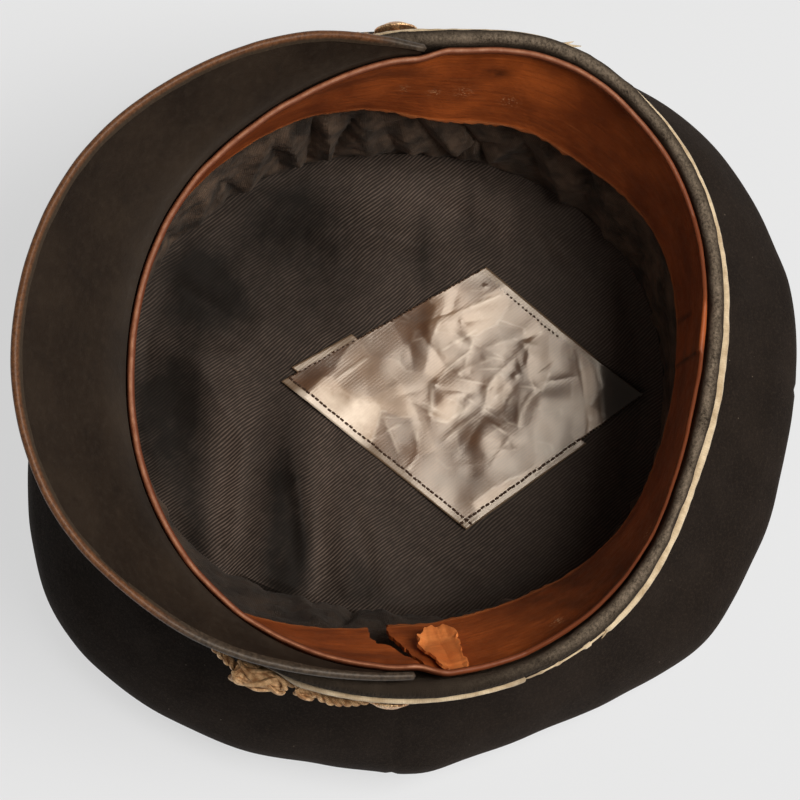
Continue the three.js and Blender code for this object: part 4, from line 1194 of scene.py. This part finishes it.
def sharp_folds(x, y, count, seed):
    """low ridges and furrows, sharp along their lines and fading out all round: height and sharpness"""
    draw = np.random.default_rng(seed)
    lift, sharp = 0 * x, 0 * x
    for _ in range(count):
        cx, cy, turn = draw.normal(-7, 13), draw.normal(32, 15), draw.uniform(0, np.pi)
        long, steep = draw.uniform(3, 8), draw.choice([-1, 1]) * draw.uniform(0.08, 0.2)
        along = (x - cx) * np.cos(turn) + (y - cy) * np.sin(turn)
        away = np.abs((y - cy) * np.cos(turn) - (x - cx) * np.sin(turn))
        fade = np.exp(-(along / long) ** 2 - (away / 3.6) ** 2)
        lift = lift - steep * away * fade
        sharp = np.maximum(sharp, np.exp(-(away / 0.35) ** 2 - (along / long) ** 4) * (steep > 0))
    return lift, sharp


def film_heights():
    """height of the film above the twill's middle level, its milkiness and painted glare, and its creases and
    painted glints, on an even grid
    """
    even = np.linspace(0, 1, FILM_STEPS)
    u, v = np.meshgrid(even, even, indexing="ij")
    spot = shield_spot(u, v)
    x, y = spot[..., 0], spot[..., 1]
    values = facet_values(x, y, 9, 101)
    central = np.exp(-((x + 8) / 22) ** 2 - ((y - 32) / 26) ** 2)[..., None]
    tilts = values[..., :2] + small_facets(x, y, 140, 0.045, 5) + central * small_facets(x, y, 340, 0.06, 6)
    bends = sum((tilts[..., k] - blurred(tilts[..., k], 2)) ** 2 for k in (0, 1)) ** 0.5
    uneven = noise(np.stack([x, y, 0 * x], -1) * MM, 4, 103)
    # creases whiten, and the facets' edges get painted highlights
    creased = np.clip(11 * bends, 0, 1) * smoothstep(uneven, -0.1, 0.5) * 0.7
    tilts = np.stack([0.75 * blurred(tilts[..., k], 1) + 0.25 * blurred(tilts[..., k], 60)
                      for k in (0, 1)], -1)
    to_back, to_right = tilts[..., 0], tilts[..., 1]
    step_u, step_v = np.diff(spot, axis=0), np.diff(spot, axis=1)
    down = 0.5 * ((to_right[1:] + to_right[:-1]) * step_u[..., 0]
                  + (to_back[1:] + to_back[:-1]) * step_u[..., 1])
    over = 0.5 * ((to_right[:, 1:] + to_right[:, :-1]) * step_v[..., 0]
                  + (to_back[:, 1:] + to_back[:, :-1]) * step_v[..., 1])
    lift = from_steps(down, over, 0.0006)
    lift = lift - 0.5 * (lift[:, 0].mean() + lift[-1, : FILM_STEPS // 2].mean())
    folds, sharp = sharp_folds(x, y, 46, 9)
    lift, creased = lift + folds, np.maximum(creased, 0.7 * sharp * smoothstep(uneven, -0.4, 0.4))
    for line in SHIELD_RIDGES:
        for (ax, ay), (bx, by) in zip(line, line[1:]):
            long = (bx - ax) ** 2 + (by - ay) ** 2
            share = np.clip(((x - ax) * (bx - ax) + (y - ay) * (by - ay)) / long, 0, 1)
            away = np.hypot(x - ax - share * (bx - ax), y - ay - share * (by - ay))
            taper = np.clip(1.3 - np.abs(2 * share - 1), 0, 1) ** 0.5
            lift = np.maximum(lift, lift + 0.12 * taper * (1 - away / 1.1))
            creased = np.maximum(creased, taper * np.exp(-(away / 0.4) ** 2) * smoothstep(uneven, -0.5, 0.3))
    for cx, cy, wide, deep in SHIELD_PINCHES:
        lift = lift + deep * np.exp(-(((x - cx) ** 2 + (y - cy) ** 2) / wide ** 2) ** 0.8)
    soft = 0.7
    lift = 0.35 + soft * np.log1p(np.exp((lift + 0.5) / soft))
    return even, lift, 0.35 * blurred(values[..., 2], 1) + 0.65 * blurred(values[..., 2], 90), creased


def on_even_grid(even, grid, u, v):
    """values of an even grid at (u, v)"""
    a, b = (np.clip(t, 0, 1) * (len(even) - 1) for t in (u, v))
    i, j = (np.minimum(t.astype(int), len(even) - 2) for t in (a, b))
    s, t = a - i, b - j
    return mix(mix(grid[i, j], grid[i + 1, j], s), mix(grid[i, j + 1], grid[i + 1, j + 1], s), t)


def film_points(u, v, even, lift, over=0.0):
    spot = shield_spot(u, v)
    x, y = spot[..., 0], spot[..., 1]
    height = twill_below(x, y) + on_even_grid(even, lift, u, v) + over
    return place(np.degrees(np.arctan2(y, x)), np.hypot(x, y), height)


def twill_below(x, y):
    """the twill's level under the film, smoothed as the film bridges its hollows"""
    turn = np.arange(8) * np.pi / 4
    near = [lining_level(x + 2.5 * math.cos(t), y + 2.5 * math.sin(t)) for t in turn]
    return np.maximum(sum(near) / 8, lining_level(x, y) - 0.1)


def sweat_shield():
    even, lift, milk, creased = film_heights()
    body = np.linspace(0, 1 - SHIELD_MARGIN, FILM_STEPS)
    u_line = np.concatenate([np.linspace(-SHIELD_STRIP, 0, 5)[:-1], body,
                             np.linspace(1 - SHIELD_MARGIN, 1, 5)[1:]])
    inner = np.linspace(SHIELD_MARGIN, 1 - SHIELD_MARGIN, FILM_STEPS)
    v_line = np.concatenate([np.linspace(0, SHIELD_MARGIN, 5)[:-1], inner,
                             np.linspace(1 - SHIELD_MARGIN, 1, 5)[1:]])
    u, v = np.meshgrid(u_line, v_line, indexing="ij")
    # torn along the needle holes, the edge is toothed
    rows = np.arange(len(v_line))
    teeth = 0.0035 * (rows % 3 - 1) + 0.002 * noise(np.stack([rows, 0 * rows, 0 * rows], -1) * MM, 7, 106)
    torn = np.exp(-(u / 0.004) ** 2) * ((v < STRIP_SPAN[0]) | (v > STRIP_SPAN[1])) * (v > SHIELD_MARGIN)
    cut = np.exp(-((u - 1 + SHIELD_MARGIN) / 0.004) ** 2) * (v > TORN_FROM)
    u = u + teeth[None, :] * torn + 1.8 * teeth[None, :] * cut
    points = film_points(u, v, even, lift)
    uv = twill_uv(*np.moveaxis(shield_spot(u, v), -1, 0))
    low, high = SHIELD_MARGIN, 1 - SHIELD_MARGIN
    margin = ((u < -1e-3) | (u > high + 1e-3) | (v < low - 1e-3) | (v > high + 1e-3)).astype(float)
    milk_and_glare_map = on_even_grid(even, milk, u, v)
    bright_strip = (v < low - 1e-3) * smoothstep(u, 0.05, 0.1) * (1 - smoothstep(u, 0.38, 0.48))
    milk_and_glare_map = np.where(margin > 0, 0.2 + 0.8 * bright_strip, milk_and_glare_map)
    holes = np.exp(-((v - high) / 0.012) ** 2) * (1 - smoothstep(u, 0.5, 0.6))
    spot = shield_spot(u, v)
    # the film's far corner, past the long fold, is painted dark: painted shade where the wall's shadow falls
    dark = smoothstep(spot[..., 1] - 0.1 * spot[..., 0], 71, 76)
    beyond = smoothstep(spot[..., 1] - 0.09 * spot[..., 0], 68.0, 68.7)
    inside = margin < 0.5
    cleared = 0.36 * inside * smoothstep(spot[..., 1], 30, 50) * (1 - beyond)
    milk_and_glare_map = milk_and_glare_map * (1 - cleared) + 0.25 * inside * beyond
    middle_u, middle_v = np.meshgrid((u_line[1:] + u_line[:-1]) / 2, (v_line[1:] + v_line[:-1]) / 2,
                                     indexing="ij")
    gone = (middle_u < 0) & ~((middle_v > STRIP_SPAN[0]) & (middle_v < STRIP_SPAN[1]))
    gone |= (middle_u > high) & (middle_v > TORN_FROM)
    keep = ~gone.reshape(-1)
    solid = Solid()
    solid.add(points, grid_faces(len(u_line), len(v_line), False)[keep], grid_uvs(uv)[keep],
              {"margin": margin, "milk": milk_and_glare_map, "holes": holes, "dark": dark,
               "creased": on_even_grid(even, creased, u, v) * (margin < 0.5)})
    obj = solid.build("sweat_shield_film", celluloid(), 35)
    thicken = obj.modifiers.new("film", "SOLIDIFY")
    thicken.thickness, thicken.offset = FILM_THICKNESS * MM, 1
    register(obj, "shield_celluloid", "sweat_shield")
    shield_stitches(even, lift)


def shield_stitches(even, lift):
    """short stitches along the film's seam lines; along its torn side only needle holes and ends are left"""
    random = np.random.default_rng(12)
    low, high = SHIELD_MARGIN, 1 - SHIELD_MARGIN
    pitch = STITCH_PITCH / SHIELD_SIDE
    # from, to, share of the pitch covered, radius
    seams = [((0.0, low), (1, low), 0.88, 0.38), ((high, 0), (high, TORN_FROM), 0.92, 0.42),
             ((0.002, low), (0.002, 0.97), 0.5, 0.26), ((0.17, high), (0.5, high), 0.4, 0.34)]
    solid = Solid()
    for start, end, cover, radius in seams:
        start, end = np.array(start), np.array(end)
        count = int(np.linalg.norm(end - start) / pitch)
        for k in range(count):
            first = (k + random.uniform(0, 0.12)) / count
            share = first + np.linspace(0, cover, 7) / count
            at = start + (end - start) * share[:, None] + random.normal(0, 0.0012, 2)
            path = film_points(at[:, 0], at[:, 1], even, lift, 0.3 * np.sin(np.linspace(0, np.pi, 7)) ** 0.5)
            solid.ring_section(tube_points(path, radius, 6, False, np.array([[0, 0, 1.0]] * 7)), False)
    register(solid.build("sweat_shield_stitches", thread()), None, "sweat_shield")


sweat_shield()

# ---- visor -----------------------------------------------------------------------------------


def visor_edge(at, column):
    slot = (at - VISOR_SPAN[0]) / ((VISOR_SPAN[1] - VISOR_SPAN[0]) / (len(VISOR_EDGE) - 1))
    return through([row[column] for row in VISOR_EDGE], slot)


def binding_line(at):
    fuller = 2.5 * hump(at, -24, 24) + 0.8 * hump(at, 58, 24)
    return rim_reach(at - 90) + visor_edge(at, 0) + fuller - BINDING_RADIUS, RIM_HEIGHT + visor_edge(at, 1)


def visor():
    at = np.linspace(*VISOR_PLATE, 220)[:, None]
    bend = rim_reach(at - 90) + VISOR_BEND[0] - 0.42
    edge_reach, edge_height = binding_line(at)
    slope = np.arctan2(edge_height - VISOR_BEND[1], edge_reach - bend)
    stop = BINDING_RADIUS + 0.3
    end_reach = np.maximum(edge_reach - stop * np.cos(slope), bend + 0.12)
    end_height = np.maximum(edge_height - stop * np.sin(slope), VISOR_BEND[1] + 0.05)
    part = np.linspace(0, 1, 44)[None, :]
    reach = mix(bend, end_reach, part)
    height = mix(VISOR_BEND[1], end_height, part ** VISOR_HOLLOW)
    foot = np.linspace(VISOR_BEND[2], VISOR_BEND[1], 5)[None, :-1]
    reach = np.concatenate([bend + 0 * foot, reach], 1)
    height = np.concatenate([foot + 0 * at, height], 1)
    points = place(at - 90, reach, height)
    waves = 0.22 * noise(points, 34, 111) + 0.08 * noise(points, 11, 112)
    points = pushed(points, False, waves * smoothstep(height, 106, 110))
    half = np.full(points.shape[:2], VISOR_SHEET / 2)
    solid = Solid()
    solid.wall(pushed(points, False, half), pushed(points, False, -half), False)
    register(solid.build("visor_plate", visor_underside(), 40), "visor_fibre", "visor")


def visor_binding():
    at = np.linspace(*BINDING_SPAN, 420)
    reach, height = binding_line(at)
    ahead = visor_edge(at, 0)
    bend = rim_reach(at - 90) + VISOR_BEND[0]
    slope = np.arctan2(height - VISOR_BEND[1], reach - bend)
    slope = np.where(ahead < 4, slope * ahead / 4, slope)
    # a strip folded round the plate's edge: nose outside, a flange on each face
    nose = [(math.cos(t) * 1.05, math.sin(t) * 1.18) for t in np.linspace(-math.pi / 2, math.pi / 2, 9)]
    section = np.array(nose + [(-1.2, 1.12), (-2.2, 1.02), (-2.25, 0.84), (-1.1, 0.83),
                               (-1.1, -0.83), (-2.25, -0.84), (-2.2, -1.02), (-1.2, -1.12)])
    small = smoothstep(ahead, 1.8, 6)[:, None]
    along = section[None, :, 0] * mix(0.75, 1, small)
    over = section[None, :, 1]
    along = np.where(section[None, :, 0] < -1.15, mix(-1.1, along, small), along)
    c, s = np.cos(slope)[:, None], np.sin(slope)[:, None]
    lumps = 1 + 0.05 * noise(place(at, 100, 0 * at), 5, 121)[:, None]
    points = place(at[:, None] - 90, reach[:, None] + along * c * lumps - over * s,
                   height[:, None] + along * s * lumps + over * c)
    nose_mask = np.array([1.0] * 9 + [0.0] * 8)
    ends = np.maximum(smoothstep(at, 40, 54), smoothstep(-at, 80, 87))
    masks = {"nose": np.broadcast_to(nose_mask[None], points.shape[:2]) + 0.0,
             "end": np.broadcast_to(ends[:, None], points.shape[:2]) + 0.0}
    solid = Solid()
    solid.ring_section(points, False, masks)
    obj = solid.build("visor_binding_strip", binding_leather(), 60)
    register(obj, "visor_binding_leather", "visor_binding")


visor()
visor_binding()

# ---- chin cord, its knots and buttons --------------------------------------------------------

BULLION = bullion()


def cord_bow(angle):
    """how far the stiff large knots hold the cord off the band at their front ends"""
    return 2.4 * sum(hump(angle, at, 8) for at in (-28.5, 208.5))


def cord_out(angle):
    leaves = smoothstep(from_front(angle), *CORD_STARTS)
    returns = smoothstep(from_front(angle), *CORD_ENDS)
    loose = 3.4 * sum(hump(angle, at, 8) for at in (-11, 191))
    return mix(CORD_CLOSE, CORD_SLACK, leaves - returns) + loose + cord_bow(angle)


def cord_path():
    right, left = BUTTONS["side_button_right"], BUTTONS["side_button_left"] - 360
    run = np.linspace(right, left, 420)
    opening = sum(hump(run, at, CORD_EYE_OPENS) for at in BUTTONS.values())
    gap = mix(CORD_HALF_GAP, CORD_EYE_RADIUS, opening)
    turn = np.pi * np.arange(1, 14) / 14

    def eye(at, side):
        along = CORD_EYE_RADIUS * np.sin(turn) / np.radians(rim_reach(at) + CORD_SLACK)
        return at + side * along, CORD_HEIGHT - side * CORD_EYE_RADIUS * np.cos(turn)

    left_eye, right_eye = eye(left, -1), eye(right, 1)
    angle = np.concatenate([run, left_eye[0], run[::-1], right_eye[0]])
    height = np.concatenate([CORD_HEIGHT + gap, left_eye[1], CORD_HEIGHT - gap[::-1], right_eye[1]])
    return place(angle, wall_reach(angle, height) + cord_out(angle), height)


def even_steps(path, step):
    closed = np.vstack([path, path[:1]])
    run = np.concatenate([[0], np.cumsum(np.linalg.norm(np.diff(closed, axis=0), axis=1))])
    count = int(run[-1] / (step * MM))
    at = np.linspace(0, run[-1], count, endpoint=False)
    return np.stack([np.interp(at, run, column) for column in closed.T], 1), at


def chin_cord():
    path, at = even_steps(cord_path(), 0.42)
    ahead = np.roll(path, -1, 0) - np.roll(path, 1, 0)
    ahead /= np.linalg.norm(ahead, axis=1, keepdims=True)
    outward = path + np.array([AXIS[0], AXIS[1], 0]) * MM
    outward[:, 2] = 0
    outward /= np.linalg.norm(outward, axis=1, keepdims=True)
    side = np.cross(ahead, outward)
    side /= np.linalg.norm(side, axis=1, keepdims=True)
    out = np.cross(side, ahead)
    turns = round(at[-1] / (5.2 * MM))
    solid = Solid()
    for k in range(2):
        turn = 2 * np.pi * (turns * np.arange(len(path)) / len(path) + k / 2)
        strand = path + 0.72 * MM * (np.cos(turn)[:, None] * out + np.sin(turn)[:, None] * side)
        solid.ring_section(tube_points(strand, 0.76, 6, True, outward), True)
    register(solid.build("chin_cord_strands", BULLION), "bullion_cord", "chin_cord")


def knot(name, at, length, wall, leads, bights):
    """a turk's head of three-ply cord over a core, worked round both runs of the chin cord"""
    clear = CORD_RADIUS + KNOT_CLEARANCE

    def surface(turn, along, over):
        outward = np.sign(np.cos(turn)) * np.abs(np.cos(turn)) ** 0.75
        upward = np.sign(np.sin(turn)) * np.abs(np.sin(turn)) ** 0.75
        thick = np.where(np.cos(turn) > 0, wall, KNOT_BACK_WALL)
        angle = at + np.degrees(along * length / 2 / (rim_reach(at) + CORD_SLACK))
        raised = KNOT_RAISED if leads > 2 else 0
        height = CORD_HEIGHT + upward * (CORD_HALF_GAP + clear + over * wall) + raised
        middle = wall_reach(angle, height) + CORD_SLACK + cord_bow(angle)
        return place(angle, middle + outward * (clear + over * thick), height)

    solid = Solid()
    turn = np.linspace(0, 2 * np.pi, 28, endpoint=False)[:, None]
    along = np.linspace(-0.9, 0.9, 12)[None, :]
    solid.wall(surface(turn, along, 0.18 + 0 * turn * along),
               surface(turn, along, 0.02 + 0 * turn * along), True)
    steps = np.arange(640) * 2 * np.pi / 640
    plies = 3 if leads > 2 else 2
    for ply in range(plies):
        shift = (ply - (plies - 1) / 2) * (0.2 if leads > 2 else 0.26)
        around = leads * steps
        sway = np.cos(bights * steps)
        run = np.gradient(sway)
        slant = np.arctan2(run * length / 2, 0.055)
        path = surface(around + shift * 0.55 * np.sin(slant), sway * 0.84 + shift * 0.30 * np.cos(slant),
                       0.5 + 0.22 * np.sin(bights * max(leads - 1, 1) * steps))
        core = surface(around, sway * 0.84, 0 * steps - 0.9)
        solid.ring_section(tube_points(path, KNOT_STRAND, 6, True, path - core), True)
    return register(solid.build(name + "_strands", BULLION), "bullion_cord", name)


def button(name, at, material):
    foot = BAND_FACE + BUTTON_FOOT
    head = BUTTON_SEAT - foot + (0.9 if at > 90 else 0)
    top = head + BUTTON_RIM
    profile = rounded([(0, 0), (BUTTON_SHANK, 0), (BUTTON_SHANK, head), (BUTTON_HEAD, head),
                       (BUTTON_HEAD, top), (BUTTON_HEAD * 0.93, top + 0.25),
                       (BUTTON_HEAD * 0.88, top + 0.1), (BUTTON_HEAD * 0.82, top + 0.55),
                       (BUTTON_HEAD * 0.5, top + BUTTON_DOME * 0.85), (0, top + BUTTON_DOME)], 60, 0.16)
    turn = np.linspace(0, 2 * np.pi, 56, endpoint=False)[:, None]
    radius, level = profile[None, :, 0], profile[None, :, 1]
    local = np.stack([radius * np.cos(turn), radius * np.sin(turn), level + 0 * turn], -1) * MM
    under, over = CORD_HEIGHT - BUTTON_HEAD, CORD_HEIGHT + BUTTON_HEAD
    leaning = math.atan2(float(wall_reach(at, over) - wall_reach(at, under)), over - under)
    c, s = math.cos(math.radians(at)), math.sin(math.radians(at))
    outward = Vector((c, s, -math.tan(leaning))).normalized()
    turned = np.array(Vector((0, 0, 1)).rotation_difference(outward).to_matrix())
    eye = place(at, wall_reach(at, CORD_HEIGHT) + CORD_CLOSE, CORD_HEIGHT)
    points = local @ turned.T + eye + np.array(outward) * (foot - CORD_CLOSE) * MM
    solid = Solid()
    solid.add(points, grid_faces(*points.shape[:2], True), grid_uvs(spread_uv(points, True)))
    return register(solid.build(name + "_domed", material, 40), "button_metal", name)


chin_cord()
for knot_name, (at, length, wall, leads, bights) in KNOTS.items():
    knot(knot_name, at, length, wall, leads, bights)
METAL = button_metal()
for button_name, at in BUTTONS.items():
    button(button_name, at, METAL)

# ---- floor, light and camera -----------------------------------------------------------------


FLOOR_HALF_SIZE = 6
FLOOR_BELOW = 0.1
FLOOR_GLOW = 0.61
LAMP_COLOUR = (1.0, 0.905, 0.8)
SKY_COLOUR = (1.0, 0.94, 0.86, 1)
SKY_STRENGTH = 0.085
CAMERA_LENS = 148.5
CAMERA_SENSOR = 36
CAMERA_DISTANCE = 1.0
# off the picture's middle, as a share of its width
CAMERA_SHIFT = (-0.01875, -0.05125)
# leaning from straight above, degrees: towards the cap's right and towards its front
CAMERA_LEAN = (7.5, 6.5)


def stage_and_light():
    floor_mesh = bpy.data.meshes.new("floor")
    size, below = FLOOR_HALF_SIZE, -FLOOR_BELOW * MM
    corners = [(-size, -size, below), (size, -size, below), (size, size, below), (-size, size, below)]
    floor_mesh.from_pydata(corners, [], [(0, 1, 2, 3)])
    floor = bpy.data.objects.new("floor", floor_mesh)
    paper = Shader("paper", Roughness=0.9)
    paper.bsdf.inputs["Base Color"].default_value = (0.2, 0.22, 0.248, 1)
    paper.bsdf.inputs["Emission Color"].default_value = (1, 1, 1, 1)
    paper.bsdf.inputs["Emission Strength"].default_value = FLOOR_GLOW
    paper.bsdf.inputs["Specular IOR Level"].default_value = 0.1
    floor_mesh.materials.append(paper.material)
    bpy.context.scene.collection.objects.link(floor)

    def softbox(name, towards, distance, width, height, power):
        light = bpy.data.lights.new(name, "AREA")
        light.color = LAMP_COLOUR
        light.shape, light.size, light.size_y, light.energy = "RECTANGLE", width, height, power
        obj = bpy.data.objects.new(name, light)
        direction = Vector(towards).normalized()
        obj.location = Vector((0, 0, 0.05)) + direction * distance
        obj.rotation_euler = direction.to_track_quat("Z", "Y").to_euler()
        bpy.context.scene.collection.objects.link(obj)

    softbox("key", (0.0, 0.37, 0.93), 1.9, 0.95, 0.95, 36)
    softbox("fill", (0.6, -0.5, 0.8), 2.4, 1.8, 1.8, 3)

    world = bpy.data.worlds.new("studio")
    world.use_nodes = True
    world.node_tree.nodes["Background"].inputs["Color"].default_value = SKY_COLOUR
    world.node_tree.nodes["Background"].inputs["Strength"].default_value = SKY_STRENGTH
    bpy.context.scene.world = world
    bpy.context.scene.view_settings.view_transform = "Standard"


def camera():
    data = bpy.data.cameras.new("camera")
    data.lens, data.sensor_width = CAMERA_LENS, CAMERA_SENSOR
    data.shift_x, data.shift_y = CAMERA_SHIFT
    data.clip_end = 20
    obj = bpy.data.objects.new("camera", data)
    lean_x, lean_y = (math.tan(math.radians(lean)) for lean in CAMERA_LEAN)
    back = Vector((lean_x, -lean_y, 1)).normalized()
    target = Vector((-AXIS[0], -AXIS[1], RIM_HEIGHT)) * MM
    up = Vector((-1, 0, 0))
    up = (up - back * up.dot(back)).normalized()
    right = up.cross(back)
    turned = Matrix((right, up, back)).transposed().to_4x4()
    turned.translation = target + back * CAMERA_DISTANCE
    obj.matrix_world = turned
    bpy.context.scene.collection.objects.link(obj)
    bpy.context.scene.camera = obj


stage_and_light()
camera()
